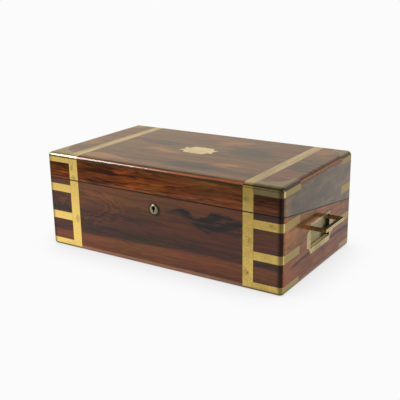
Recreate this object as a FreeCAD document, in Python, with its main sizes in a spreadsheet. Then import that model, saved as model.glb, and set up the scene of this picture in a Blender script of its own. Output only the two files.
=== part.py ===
"""Campaign desk: a brass-bound writing box whose lid parts from its base along a slope.

Lengths are in millimetres. The front, with the keyhole, faces -Y and the right-hand
end faces +X. The origin is the middle of the underside.
"""

import FreeCAD, Part
import Sketcher
import math
import os
import re

doc = FreeCAD.newDocument("campaign_desk")

# Driving sizes
SIZES = {
    # Case
    "case_width": 500,
    "case_depth": 286,
    "case_height": 185,
    "lid_front_height": 48.5,
    "rim_gap": 0.5,
    "wall_thick": 13,
    "top_thick": 9,
    "bottom_thick": 9,
    "edge_round": 8,
    "foot_round": 6,
    "tool_over": 5,
    # Brass straps, bands and caps, let in flush
    "brass_thick": 1.2,
    "strap_width": 20,
    "strap_inset": 63.7,
    "strap_lip": 8,
    "band_width": 15.3,
    "front_reach": 62.5,
    "back_reach": 48.5,
    "back_cap_reach": 32,
    "front_cap_round": 42,
    "back_cap_round": 24,
    "lid_cap_height": 17,
    "foot_cap_height": 15.75,
    "upper_band_drop": 11,
    "lid_band_rise": 20,
    "brass_pin_radius": 1.1,
    "brass_pin_length": 7,
    "brass_pin_margin": 9,
    "cap_pin_rise": 5,
    "foot_pin_level": 30.5,
    # Blank name plate in the lid
    "name_plate_length": 73,
    "name_plate_width": 45.5,
    "name_plate_peak": 2,
    "name_plate_peak_half": 4,
    "name_plate_shoulder": 21,
    "name_plate_notch_side": 26,
    "name_plate_notch_level": 10.5,
    "name_plate_ear_level": 13,
    "name_plate_waist": 31,
    "name_plate_side": -1.5,
    "name_plate_back": 4,
    # Keyhole boss
    "lock_side": -1.5,
    "keyhole_drop": 26.4,
    "boss_radius": 9.2,
    "boss_proud": 2.4,
    "boss_seat": 2,
    "boss_bevel": 1.2,
    "keyhole_radius": 2.6,
    "keyhole_rise": 2.5,
    "key_slot_width": 3,
    "key_slot_length": 8,
    # Lock
    "lock_length": 72,
    "lock_height": 40,
    "lock_seat": 3.5,
    "lock_sheet": 1.2,
    "lock_line_in": 3.8,
    "lock_plate_thick": 1.8,
    "lock_plate_length": 80,
    "lock_plate_width": 7,
    "hook_spacing": 32,
    "hook_width": 9,
    "hook_thick": 2.2,
    "hook_drop": 10.5,
    "hook_notch_drop": 4,
    "hook_notch_height": 3.5,
    "hook_notch_depth": 6,
    "hook_play": 0.6,
    "bolt_travel": 5.5,
    "bolt_thick": 2.6,
    "bolt_play": 0.4,
    "bolt_bar_height": 5,
    "bolt_post_width": 2.5,
    # Hinges
    "hinge_offset": 1.5,
    "hinge_strap_gap": 10,
    "hinge_length": 60,
    "knuckle_radius": 2.6,
    "knuckle_gap": 0.3,
    "knuckle_play": 0.5,
    "hinge_pin_radius": 1.2,
    "pin_play": 0.05,
    "leaf_thick": 1.6,
    "leaf_reach": 12,
    "screw_radius": 1.2,
    "screw_head_radius": 2.4,
    "screw_head_height": 1,
    "screw_length": 9,
    "screw_spacing": 20,
    # Carrying handles
    "handle_back": 4.5,
    "handle_rim_gap": 10.055,
    "handle_plate_length": 110.7,
    "handle_plate_height": 56.2,
    "handle_plate_thick": 1.5,
    "handle_plate_notch": 14,
    "well_side_gap": 1,
    "well_height": 41.6,
    "well_rise": 2.9,
    "well_depth": 7.5,
    "well_sheet": 1.2,
    "bail_length": 79,
    "bail_reach": 30.8,
    "bail_width": 6.5,
    "bail_thick": 5.5,
    "bail_depth": 3.2,
    "bail_drop": 5.5,
    "handle_pin_radius": 1.6,
    "handle_pin_hold": 5,
    # Pen section
    "pen_depth": 57.5,
    "partition_thick": 6,
    "ink_bay": 57,
    "divider_thick": 6,
    "shelf_thick": 6,
    "fitting_drop": 3,
    "tray_height": 24,
    "tray_gap": 0.5,
    "trough_radius": 21,
    "trough_depth": 14,
    "nib_well_length": 48,
    "nib_well_width": 40,
    "nib_well_rib": 8,
    "tray_rim": 8,
    "bearer_width": 6,
    "bearer_height": 6,
    # Ink bottles
    "ink_width": 42,
    "ink_height": 32,
    "ink_wall": 4,
    "ink_neck_radius": 12,
    "ink_neck_height": 9,
    "ink_bore_radius": 8,
    "ink_headroom": 4,
    "ink_cap_radius": 15,
    "ink_cap_top": 4,
    "ink_cap_gap": 0.4,
    # Writing flaps
    "flap_thick": 8,
    "flap_drop": 1.5,
    "flap_side_gap": 1,
    "flap_end_gap": 2.5,
    "flap_axis": 22.5,
    "flap_tail": 4,
    "flap_rest_gap": 0.3,
    "flap_pin_radius": 2,
    "flap_pin_hold": 5,
    "flap_pin_reach": 7,
    "leather_thick": 0.8,
    "finger_radius": 10,
    "ledge_width": 8,
    "ledge_height": 8,
    "ledge_end_gap": 12,
}

# Values that follow from the sizes
MADE = {
    "tilt": "atan((case_height / 2 - lid_front_height) / (case_depth + hinge_offset))",
    "axis_y": "case_depth / 2 + hinge_offset",
    "axis_z": "case_height / 2",
    "half_width": "case_width / 2",
    "half_depth": "case_depth / 2",
    "inner_x": "case_width / 2 - wall_thick",
    "inner_y": "case_depth / 2 - wall_thick",
    "rim_front": "case_height - lid_front_height",
    "strap_centre": "half_width - strap_inset",
    "strap_in": "strap_centre - strap_width / 2",
    "strap_out": "strap_centre + strap_width / 2",
    "upper_band_top": "rim_front - upper_band_drop",
    "lower_band_level": "(upper_band_top - band_width / 2 + foot_cap_height / 2) / 2",
    "lower_band_top": "lower_band_level + band_width / 2",
    "lid_band_base": "axis_z + lid_band_rise",
    "cap_pin_level": "case_height - lid_cap_height + cap_pin_rise",
    "keyhole_level": "rim_front - keyhole_drop",
    "hinge_centre": "strap_in - hinge_strap_gap - hinge_length / 2",
    "lock_line": "(axis_y + inner_y + lock_line_in) / cos(tilt)",
    "hook_top": "-rim_gap / 2 - hook_notch_drop",
    "hook_base": "-rim_gap / 2 - hook_drop",
    "bolt_top": "hook_top - bolt_play",
    "bolt_base": "hook_base - bolt_play",
    "prong_base": "hook_top - hook_notch_height + bolt_play",
    "handle_end": "handle_back + handle_plate_length / 2",
    "rim_handle": "axis_z + (axis_y - handle_end) * tan(tilt)",
    "handle_level": "rim_handle - handle_rim_gap - handle_plate_height / 2",
    "well_length": "bail_length + 2 * well_side_gap",
    "well_level": "handle_level + well_rise",
    "bail_level": "well_level + well_height / 2 - bail_drop",
    "bail_axis_x": "half_width - bail_depth",
    "pen_back": "pen_depth - inner_y",
    "pen_middle": "pen_depth / 2 - inner_y",
    "partition_back": "pen_back + partition_thick",
    "rim_pen": "axis_z + (axis_y - pen_back) * tan(tilt)",
    "rim_tray": "axis_z + (axis_y - pen_middle) * tan(tilt)",
    "tray_base": "rim_pen - tray_height",
    "tray_end": "inner_x - ink_bay - divider_thick",
    "nib_well_end": "tray_end - tray_gap - tray_rim",
    "trough_length": "2 * (nib_well_end - nib_well_length - nib_well_rib)",
    "shelf_top": "rim_pen - ink_headroom - ink_cap_top - ink_neck_height - ink_height",
    "ink_middle": "inner_x - ink_bay / 2",
    "flap_far": "flap_drop + flap_thick",
    "flap_pin_level": "flap_drop + flap_thick / 2",
    "flap_edge": "inner_x - flap_side_gap",
    "base_flap_front": "(axis_y - pen_back) / cos(tilt) - flap_end_gap",
    "lid_flap_front": "(axis_y + inner_y) / cos(tilt) - flap_end_gap",
    "ledge_near": "flap_far + flap_rest_gap",
    "ledge_start": "flap_axis + ledge_end_gap",
    "base_ledge_end": "(axis_y - partition_back) / cos(tilt) - ledge_end_gap",
}

SIDES = ("left", "right")
KNUCKLES = 5

sheet = doc.addObject("Spreadsheet::Sheet", "dims")
for row, (name, value) in enumerate(SIZES.items(), start=1):
    sheet.set(f"A{row}", name)
    sheet.set(f"B{row}", str(value))
    sheet.setAlias(f"B{row}", name)


def bind(text):
    """Return an expression with each size pointed at the cell or value that holds it."""

    def point(match):
        word = match.group(0)
        if word in SIZES:
            return f"dims.{word}"
        if word in MADE:
            return f"made.{word}"
        return word

    return re.sub(r"[a-z_][a-z_0-9]*", point, text)


made = doc.addObject("App::VarSet", "made")
for name in MADE:
    made.addProperty("App::PropertyAngle" if name == "tilt" else "App::PropertyFloat", name)
for name, text in MADE.items():
    made.setExpression(name, bind(text))
doc.recompute()


# Solids placed square to the case


def drive(item, **texts):
    """Bind properties of a document object to expressions."""
    for name, text in texts.items():
        item.setExpression(name, bind(text))


def place(item, x, y, z):
    """Bind the place of a document object to expressions."""
    item.setExpression("Placement.Base.x", bind(x))
    item.setExpression("Placement.Base.y", bind(y))
    item.setExpression("Placement.Base.z", bind(z))


def block(name, x, y, z):
    """Make a box between pairs of expressions along X, Y and Z."""
    box = doc.addObject("Part::Box", name)
    drive(
        box,
        Length=f"({x[1]}) - ({x[0]})",
        Width=f"({y[1]}) - ({y[0]})",
        Height=f"({z[1]}) - ({z[0]})",
    )
    place(box, x[0], y[0], z[0])
    return box


TURNS = {
    "x": FreeCAD.Rotation(FreeCAD.Vector(0, 1, 0), 90),
    "y": FreeCAD.Rotation(FreeCAD.Vector(-1, 0, 0), 90),
    "z": FreeCAD.Rotation(),
}


def rod(name, along, start, radius, length):
    """Make a cylinder along +X, +Y or +Z from a start point."""
    cylinder = doc.addObject("Part::Cylinder", name)
    cylinder.Placement = FreeCAD.Placement(FreeCAD.Vector(), TURNS[along])
    drive(cylinder, Radius=radius, Height=length)
    place(cylinder, *start)
    return cylinder


def wedge(name, y, z, near_half, far_half, turned):
    """Make a board with mitred ends: its half length goes from near_half to far_half across Y."""
    board = doc.addObject("Part::Wedge", name)
    if turned:
        board.Placement = FreeCAD.Placement(
            FreeCAD.Vector(), FreeCAD.Rotation(FreeCAD.Vector(0, 0, 1), 90)
        )
    drive(
        board,
        Xmin=f"-({near_half})",
        Xmax=near_half,
        X2min=f"-({far_half})",
        X2max=far_half,
        Ymin=y[0],
        Ymax=y[1],
        Zmin=z[0],
        Zmax=z[1],
        Z2min=z[0],
        Z2max=z[1],
    )
    return board


def mirrored(side, low, high):
    """Return a span along X as it lies on the right, or its mirror image on the left."""
    if side == "right":
        return low, high
    return f"-({high})", f"-({low})"


def at_side(side, x):
    """Return a place along X on the right, or its mirror image on the left."""
    return x if side == "right" else f"-({x})"


# Solids placed on the slope: along runs from the hinge axis to the front, above is square to it


def slope_y(along, above):
    """Return Y of a point on the slope."""
    return f"axis_y - ({along}) * cos(tilt) + ({above}) * sin(tilt)"


def slope_z(along, above):
    """Return Z of a point on the slope."""
    return f"axis_z + ({along}) * sin(tilt) + ({above}) * cos(tilt)"


def lean(item):
    """Lean a document object with the slope."""
    item.Placement = FreeCAD.Placement(
        FreeCAD.Vector(), FreeCAD.Rotation(FreeCAD.Vector(-1, 0, 0), 5)
    )
    item.setExpression("Placement.Rotation.Angle", bind("tilt"))


def slope_block(name, x, along, above):
    """Make a box between pairs of expressions along X, along the slope and square to it."""
    box = doc.addObject("Part::Box", name)
    lean(box)
    drive(
        box,
        Length=f"({x[1]}) - ({x[0]})",
        Width=f"({along[1]}) - ({along[0]})",
        Height=f"({above[1]}) - ({above[0]})",
    )
    place(box, x[0], slope_y(along[1], above[0]), slope_z(along[1], above[0]))
    return box


def slope_rod(name, x, along, above, radius):
    """Make a cylinder square to the slope between a pair of expressions."""
    cylinder = doc.addObject("Part::Cylinder", name)
    lean(cylinder)
    drive(cylinder, Radius=radius, Height=f"({above[1]}) - ({above[0]})")
    place(cylinder, x, slope_y(along, above[0]), slope_z(along, above[0]))
    return cylinder


# Joining and cutting


def cut(name, base, *tools):
    """Cut one or more solids out of another."""
    item = doc.addObject("Part::Cut", name)
    item.Base = base
    item.Tool = tools[0] if len(tools) == 1 else fuse(f"{name}_tools", *tools)
    return item


def common(name, base, tool):
    """Keep what two solids share."""
    item = doc.addObject("Part::Common", name)
    item.Base = base
    item.Tool = tool
    return item


def fuse(name, *solids):
    """Join solids into one."""
    item = doc.addObject("Part::MultiFuse", name)
    item.Shapes = list(solids)
    item.Refine = True
    return item


def group(name, *solids):
    """Hold separate solids as one sub-part."""
    item = doc.addObject("Part::Compound", name)
    item.Links = list(solids)
    return item


# Outline of the case, and the skin that the brass is cut from


def rounded_case(name, inset):
    """Make the case's outline, set in on every face, as a body with rounded edges."""
    body = doc.addObject("PartDesign::Body", name)
    box = body.newObject("PartDesign::AdditiveBox", f"{name}_box")
    drive(
        box,
        Length=f"case_width - 2 * ({inset})",
        Width=f"case_depth - 2 * ({inset})",
        Height=f"case_height - 2 * ({inset})",
    )
    place(box, f"({inset}) - half_width", f"({inset}) - half_depth", inset)
    doc.recompute()
    foot = box.Shape.BoundBox.ZMin + 0.1
    upper = []
    for number, edge in enumerate(box.Shape.Edges, start=1):
        if edge.BoundBox.ZMax > foot:
            upper.append(f"Edge{number}")
    edges = body.newObject("PartDesign::Fillet", f"{name}_edges")
    edges.Base = (box, upper)
    drive(edges, Radius=f"edge_round - ({inset})")
    doc.recompute()
    lower = []
    for number, edge in enumerate(edges.Shape.Edges, start=1):
        if edge.BoundBox.ZMax < foot:
            lower.append(f"Edge{number}")
    feet = body.newObject("PartDesign::Fillet", f"{name}_feet")
    feet.Base = (edges, lower)
    drive(feet, Radius=f"foot_round - ({inset})")
    doc.recompute()
    return body


case_outline = rounded_case("case_outline", "0")
inlay_core = rounded_case("inlay_core", "brass_thick")
skin = cut("skin", case_outline, inlay_core)

WHOLE_X = ("-case_width", "case_width")
WHOLE_Y = ("-case_depth", "case_depth")
WHOLE_Z = ("-case_height", "2 * case_height")
WHOLE_SLOPE = ("-case_depth", "2 * case_depth")

base_zone = slope_block("base_zone", WHOLE_X, WHOLE_SLOPE, ("-2 * case_height", "-rim_gap / 2"))
lid_zone = slope_block("lid_zone", WHOLE_X, WHOLE_SLOPE, ("rim_gap / 2", "2 * case_height"))
base_skin = common("base_skin", skin, base_zone)
lid_skin = common("lid_skin", skin, lid_zone)
base_outline = common("base_outline", case_outline, base_zone)
lid_outline = common("lid_outline", case_outline, lid_zone)

# Brass straps, bands and caps, before their pin holes
FRONT_SPAN = ("-half_depth - tool_over", "front_reach - half_depth")
BACK_SPAN = ("half_depth - back_reach", "half_depth + tool_over")


def strap_blocks(name, y):
    """Make the two blocks that pick the straps out of the skin."""
    blocks = []
    for side in SIDES:
        x = mirrored(side, "strap_in", "strap_out")
        blocks.append(block(f"{name}_{side}", x, y, WHOLE_Z))
    return group(name, *blocks)


def corner_blocks(name, inner_x, y, levels):
    """Make the blocks that pick bands round two corners out of the skin."""
    blocks = []
    for side in SIDES:
        for number, z in enumerate(levels, start=1):
            x = mirrored(side, inner_x, "half_width + tool_over")
            blocks.append(block(f"{name}_{side}_{number}", x, y, z))
    return group(name, *blocks)


def cap_blocks(name, z):
    """Make the four blocks that pick corner caps out of the skin, each with a hollow curve inside."""
    blocks = []
    corners = {
        "front": ("strap_out", FRONT_SPAN, "front_reach - half_depth", "front_cap_round"),
        "back": (
            "half_width - back_cap_reach",
            BACK_SPAN,
            "half_depth - back_reach",
            "back_cap_round",
        ),
    }
    for side in SIDES:
        for end, (inner_x, y, centre_y, radius) in corners.items():
            x = mirrored(side, inner_x, "half_width + tool_over")
            corner = block(f"{name}_{end}_{side}_block", x, y, z)
            start = (at_side(side, inner_x), centre_y, z[0])
            hollow = rod(
                f"{name}_{end}_{side}_curve", "z", start, radius, f"({z[1]}) - ({z[0]})"
            )
            blocks.append(cut(f"{name}_{end}_{side}", corner, hollow))
    return group(name, *blocks)


front_levels = [
    ("upper_band_top - band_width", "upper_band_top"),
    ("lower_band_top - band_width", "lower_band_top"),
]
brass = {
    "base_front_straps": common(
        "base_front_strap_skin",
        base_skin,
        strap_blocks("base_front_strap_blocks", ("-case_depth", "strap_lip - half_depth")),
    ),
    "base_back_straps": common(
        "base_back_strap_skin",
        base_skin,
        strap_blocks("base_back_strap_blocks", ("half_depth - strap_lip", "case_depth")),
    ),
    "base_front_bands": common(
        "base_front_band_skin",
        base_skin,
        corner_blocks("base_front_band_blocks", "strap_out", FRONT_SPAN, front_levels),
    ),
    "base_back_bands": common(
        "base_back_band_skin",
        base_skin,
        corner_blocks(
            "base_back_band_blocks", "half_width - back_reach", BACK_SPAN, front_levels[1:]
        ),
    ),
    "base_foot_caps": common(
        "base_foot_cap_skin",
        base_skin,
        cap_blocks("base_foot_cap_blocks", ("-tool_over", "foot_cap_height")),
    ),
    "lid_straps": common(
        "lid_strap_skin", lid_skin, strap_blocks("lid_strap_blocks", WHOLE_Y)
    ),
    "lid_back_bands": common(
        "lid_back_band_skin",
        lid_skin,
        corner_blocks(
            "lid_back_band_blocks",
            "half_width - back_reach",
            BACK_SPAN,
            [("lid_band_base", "lid_band_base + band_width")],
        ),
    ),
    "lid_corner_caps": common(
        "lid_corner_cap_skin",
        lid_skin,
        cap_blocks(
            "lid_corner_cap_blocks", ("case_height - lid_cap_height", "case_height + tool_over")
        ),
    ),
}

# Brass pins through straps, bands and caps


def face_pin(name, face, x, y, z):
    """Make a pin driven square into one face of the case, its head flush."""
    starts = {
        "front": ("y", (x, "-half_depth", z)),
        "back": ("y", (x, "half_depth - brass_pin_length", z)),
        "left": ("x", ("-half_width", y, z)),
        "right": ("x", ("half_width - brass_pin_length", y, z)),
        "top": ("z", (x, y, "case_height - brass_pin_length")),
    }
    along, start = starts[face]
    return rod(name, along, start, "brass_pin_radius", "brass_pin_length")


def corner_pins(name, face, inner_x, end_y, z):
    """Make the pins of a band or cap that wraps a left and a right corner."""
    pins = []
    for side in SIDES:
        x = at_side(side, f"(({inner_x}) + half_width - edge_round) / 2")
        pins.append(face_pin(f"{name}_{side}_{face}", face, x, "0", z))
        pins.append(face_pin(f"{name}_{side}_end", side, "0", end_y, z))
    return pins


front_end_y = "front_reach - half_depth - brass_pin_margin"
back_end_y = "half_depth - back_reach + brass_pin_margin"
rim_back = "axis_z + hinge_offset * tan(tilt)"
base_pins = []
lid_pins = []
for side in SIDES:
    strap_x = at_side(side, "strap_centre")
    for face, rim in (("front", "rim_front"), ("back", rim_back)):
        top_z = f"{rim} - brass_pin_margin"
        levels = ["foot_pin_level", f"(foot_pin_level + {top_z}) / 2", top_z]
        for number, z in enumerate(levels, start=1):
            base_pins.append(
                face_pin(f"base_{face}_strap_pin_{side}_{number}", face, strap_x, "0", z)
            )
        lid_levels = [f"{rim} + brass_pin_margin", "case_height - edge_round - brass_pin_margin"]
        for number, z in enumerate(lid_levels, start=1):
            lid_pins.append(
                face_pin(f"lid_{face}_strap_pin_{side}_{number}", face, strap_x, "0", z)
            )
    for number, y in enumerate(("half_depth / -2", "0", "half_depth / 2"), start=1):
        lid_pins.append(face_pin(f"lid_top_strap_pin_{side}_{number}", "top", strap_x, y, "0"))
for number, (low, high) in enumerate(front_levels, start=1):
    base_pins += corner_pins(
        f"base_front_band_pin_{number}", "front", "strap_out", front_end_y, f"({low} + {high}) / 2"
    )
base_pins += corner_pins(
    "base_back_band_pin", "back", "half_width - back_reach", back_end_y, "lower_band_level"
)
lid_pins += corner_pins(
    "lid_back_band_pin",
    "back",
    "half_width - back_reach",
    back_end_y,
    "lid_band_base + band_width / 2",
)
lid_pins += corner_pins(
    "lid_front_cap_pin", "front", "strap_out", front_end_y, "cap_pin_level"
)
lid_pins += corner_pins(
    "lid_back_cap_pin",
    "back",
    "half_width - back_cap_reach",
    back_end_y,
    "cap_pin_level",
)

subparts = []


def keep(item):
    """List a document object as a sub-part of the desk."""
    subparts.append(item)
    return item


base_brass_pins = keep(group("base_brass_pins", *base_pins))
lid_brass_pins = keep(group("lid_brass_pins", *lid_pins))
base_brass = []
lid_brass = []
for name, item in brass.items():
    if name == "base_foot_caps":
        base_brass.append(item)
        item.Label = name
        keep(item)
    elif name.startswith("base"):
        base_brass.append(item)
        keep(cut(name, item, base_brass_pins))
    else:
        lid_brass.append(item)
        keep(cut(name, item, lid_brass_pins))
base_inlay = fuse("base_inlay", *base_brass, *base_pins)
lid_inlay = fuse("lid_inlay", *lid_brass, *lid_pins)


# Butt hinges on the back edge


def knuckle_span(centre, number):
    """Return the span along X of one knuckle of a hinge."""
    step = f"hinge_length / {KNUCKLES}"
    start = f"{centre} - hinge_length / 2 + {step} * {number}"
    return f"{start} + knuckle_gap / 2", f"{start} + {step} - knuckle_gap / 2"


def leaf(name, centre, above, numbers):
    """Make a hinge leaf with its knuckles round the hinge axis."""
    whole = (f"{centre} - hinge_length / 2", f"{centre} + hinge_length / 2")
    root = "knuckle_radius + knuckle_play"
    pieces = [slope_block(f"{name}_plate", whole, (root, "leaf_reach"), above)]
    for number in numbers:
        span = knuckle_span(centre, number)
        start = (span[0], "axis_y", "axis_z")
        length = f"({span[1]}) - ({span[0]})"
        pieces.append(rod(f"{name}_knuckle_{number}", "x", start, "knuckle_radius", length))
        pieces.append(slope_block(f"{name}_web_{number}", span, ("0", f"{root} + leaf_thick"), above))
    start = (f"{whole[0]} - tool_over", "axis_y", "axis_z")
    bore = rod(
        f"{name}_bore",
        "x",
        start,
        "hinge_pin_radius + pin_play",
        "hinge_length + 2 * tool_over",
    )
    return cut(name, fuse(f"{name}_solid", *pieces), bore)


def screw(name, x, sign):
    """Make a flush screw of a hinge leaf, driven away from the rim."""
    middle = "(knuckle_radius + leaf_reach) / 2"
    face = "rim_gap / 2"
    spans = {
        "head": (face, f"{face} + screw_head_height", "screw_head_radius"),
        "shank": (face, f"{face} + screw_length", "screw_radius"),
    }
    pieces = []
    for piece, (near, far, radius) in spans.items():
        above = (near, far) if sign > 0 else (f"-({far})", f"-({near})")
        pieces.append(slope_rod(f"{name}_{piece}", x, middle, above, radius))
    return fuse(name, *pieces)


base_leaves = []
lid_leaves = []
hinge_pins = []
base_screws = []
lid_screws = []
barrel_rooms = []
for side in SIDES:
    centre = at_side(side, "hinge_centre")
    base_leaves.append(
        leaf(
            f"base_leaf_{side}",
            centre,
            ("-rim_gap / 2 - leaf_thick", "-rim_gap / 2"),
            range(0, KNUCKLES, 2),
        )
    )
    lid_leaves.append(
        leaf(
            f"lid_leaf_{side}",
            centre,
            ("rim_gap / 2", "rim_gap / 2 + leaf_thick"),
            range(1, KNUCKLES, 2),
        )
    )
    start = (f"{centre} - hinge_length / 2", "axis_y", "axis_z")
    hinge_pins.append(rod(f"hinge_pin_{side}", "x", start, "hinge_pin_radius", "hinge_length"))
    start = (f"{centre} - hinge_length / 2 - knuckle_gap", "axis_y", "axis_z")
    barrel_rooms.append(
        rod(
            f"barrel_room_{side}",
            "x",
            start,
            "knuckle_radius + knuckle_play",
            "hinge_length + 2 * knuckle_gap",
        )
    )
    for number in (-1, 0, 1):
        x = f"{centre} + screw_spacing * {number}"
        base_screws.append(screw(f"base_screw_{side}_{number + 2}", x, -1))
        lid_screws.append(screw(f"lid_screw_{side}_{number + 2}", x, 1))
base_leaf_blanks = group("base_leaf_blanks", *base_leaves)
lid_leaf_blanks = group("lid_leaf_blanks", *lid_leaves)
base_hinge_screws = keep(group("base_hinge_screws", *base_screws))
lid_hinge_screws = keep(group("lid_hinge_screws", *lid_screws))
keep(cut("base_hinge_leaves", base_leaf_blanks, base_hinge_screws))
keep(cut("lid_hinge_leaves", lid_leaf_blanks, lid_hinge_screws))
keep(group("hinge_pins", *hinge_pins))
base_hinge_room = fuse("base_hinge_room", *base_leaves, *base_screws, *barrel_rooms)
lid_hinge_room = fuse("lid_hinge_room", *lid_leaves, *lid_screws, *barrel_rooms)

# Keyhole boss
BOSS_BACK = "boss_seat - half_depth"
boss_drum = rod(
    "boss_drum",
    "y",
    ("lock_side", "boss_bevel - boss_proud - half_depth", "keyhole_level"),
    "boss_radius",
    "boss_seat + boss_proud - boss_bevel",
)
boss_nose = doc.addObject("Part::Cone", "boss_nose")
boss_nose.Placement = FreeCAD.Placement(FreeCAD.Vector(), TURNS["y"])
drive(boss_nose, Radius1="boss_radius - boss_bevel", Radius2="boss_radius", Height="boss_bevel")
place(boss_nose, "lock_side", "-boss_proud - half_depth", "keyhole_level")
boss = fuse("boss", boss_drum, boss_nose)
KEYHOLE_START = "-half_depth - boss_proud - tool_over"
KEYHOLE_END = "lock_seat + 2 * lock_sheet - half_depth"
key_round = rod(
    "key_round",
    "y",
    ("lock_side", KEYHOLE_START, "keyhole_level + keyhole_rise"),
    "keyhole_radius",
    f"({KEYHOLE_END}) - ({KEYHOLE_START})",
)
key_slot = block(
    "key_slot",
    ("lock_side - key_slot_width / 2", "lock_side + key_slot_width / 2"),
    (KEYHOLE_START, KEYHOLE_END),
    ("keyhole_level + keyhole_rise - key_slot_length", "keyhole_level + keyhole_rise"),
)
keyhole = fuse("keyhole", key_round, key_slot)
keep(cut("keyhole_boss", boss, keyhole))

# Lock in the base's front board
lock_block = block(
    "lock_block",
    ("lock_side - lock_length / 2", "lock_side + lock_length / 2"),
    ("lock_seat - half_depth", "-inner_y"),
    ("rim_front - lock_height", "case_height"),
)
lock_zone = slope_block(
    "lock_zone",
    WHOLE_X,
    WHOLE_SLOPE,
    ("-2 * case_height", "-rim_gap / 2 - lock_plate_thick"),
)
lock_solid = common("lock_solid", lock_block, lock_zone)
lock_room = block(
    "lock_room",
    (
        "lock_side - lock_length / 2 + lock_sheet",
        "lock_side + lock_length / 2 - lock_sheet",
    ),
    ("lock_seat + lock_sheet - half_depth", "-inner_y - lock_sheet"),
    ("rim_front - lock_height + lock_sheet", "2 * case_height"),
)
keep(cut("lock_case", lock_solid, lock_room, keyhole))

PLATE_SPAN = ("lock_side - lock_plate_length / 2", "lock_side + lock_plate_length / 2")
PLATE_ALONG = ("lock_line - lock_plate_width / 2", "lock_line + lock_plate_width / 2")
lock_plate_blank = slope_block(
    "lock_plate_blank",
    PLATE_SPAN,
    PLATE_ALONG,
    ("-rim_gap / 2 - lock_plate_thick", "-rim_gap / 2"),
)
hook_plate_blank = slope_block(
    "hook_plate_blank",
    PLATE_SPAN,
    PLATE_ALONG,
    ("rim_gap / 2", "rim_gap / 2 + lock_plate_thick"),
)
HOOK_ALONG = ("lock_line - hook_thick / 2", "lock_line + hook_thick / 2")
BOLT_ALONG = ("lock_line - bolt_thick / 2", "lock_line + bolt_thick / 2")
slots = []
hooks = []
bolt_pieces = []
for side in SIDES:
    hook_x = f"lock_side + {at_side(side, 'hook_spacing / 2')}"
    hook_left = f"{hook_x} - hook_width / 2"
    hook_right = f"{hook_x} + hook_width / 2"
    slots.append(
        slope_block(
            f"lock_slot_{side}",
            (f"{hook_left} - hook_play", f"{hook_right} + hook_play"),
            (f"{HOOK_ALONG[0]} - hook_play", f"{HOOK_ALONG[1]} + hook_play"),
            ("-rim_gap / 2 - lock_plate_thick - tool_over", "tool_over"),
        )
    )
    tongue = slope_block(
        f"hook_tongue_{side}",
        (hook_left, hook_right),
        HOOK_ALONG,
        ("hook_base", "rim_gap / 2 + lock_plate_thick / 2"),
    )
    notch = slope_block(
        f"hook_notch_{side}",
        (f"{hook_left} - tool_over", f"{hook_left} + hook_notch_depth"),
        (f"{HOOK_ALONG[0]} - tool_over", f"{HOOK_ALONG[1]} + tool_over"),
        ("hook_top - hook_notch_height", "hook_top"),
    )
    hooks.append(cut(f"hook_{side}", tongue, notch))
    prong_tip = f"{hook_left} - bolt_play"
    post_right = f"{prong_tip} - bolt_travel"
    post_left = f"{post_right} - bolt_post_width"
    bolt_pieces.append(
        slope_block(
            f"bolt_post_{side}",
            (post_left, post_right),
            BOLT_ALONG,
            ("bolt_base - bolt_bar_height", "bolt_top"),
        )
    )
    bolt_pieces.append(
        slope_block(
            f"bolt_prong_{side}", (post_left, prong_tip), BOLT_ALONG, ("prong_base", "bolt_top")
        )
    )
bolt_pieces.append(
    slope_block(
        "bolt_bar",
        (
            "lock_side - (hook_spacing + hook_width) / 2 - bolt_play - bolt_travel - bolt_post_width",
            "lock_side + (hook_spacing - hook_width) / 2 - bolt_play - bolt_travel",
        ),
        BOLT_ALONG,
        ("bolt_base - bolt_bar_height", "bolt_base"),
    )
)
keep(cut("lock_plate", lock_plate_blank, *slots))
keep(fuse("lock_hook_plate", hook_plate_blank, *hooks))
keep(fuse("lock_bolt", *bolt_pieces))
lock_opening = fuse("lock_opening", lock_solid, lock_plate_blank, boss, keyhole)


# Carrying handles


def ticket(name, x, length, height, notch, middle_y, middle_z):
    """Make an upright plate whose corners are cut by hollow curves."""
    y = (f"{middle_y} - {length} / 2", f"{middle_y} + {length} / 2")
    z = (f"{middle_z} - {height} / 2", f"{middle_z} + {height} / 2")
    corners = []
    for row, corner_y in enumerate(y):
        for column, corner_z in enumerate(z):
            start = (f"{x[0]} - tool_over", corner_y, corner_z)
            corners.append(
                rod(
                    f"{name}_corner_{row}{column}",
                    "x",
                    start,
                    notch,
                    f"({x[1]}) - ({x[0]}) + 2 * tool_over",
                )
            )
    return cut(name, block(f"{name}_blank", x, y, z), *corners)


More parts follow.
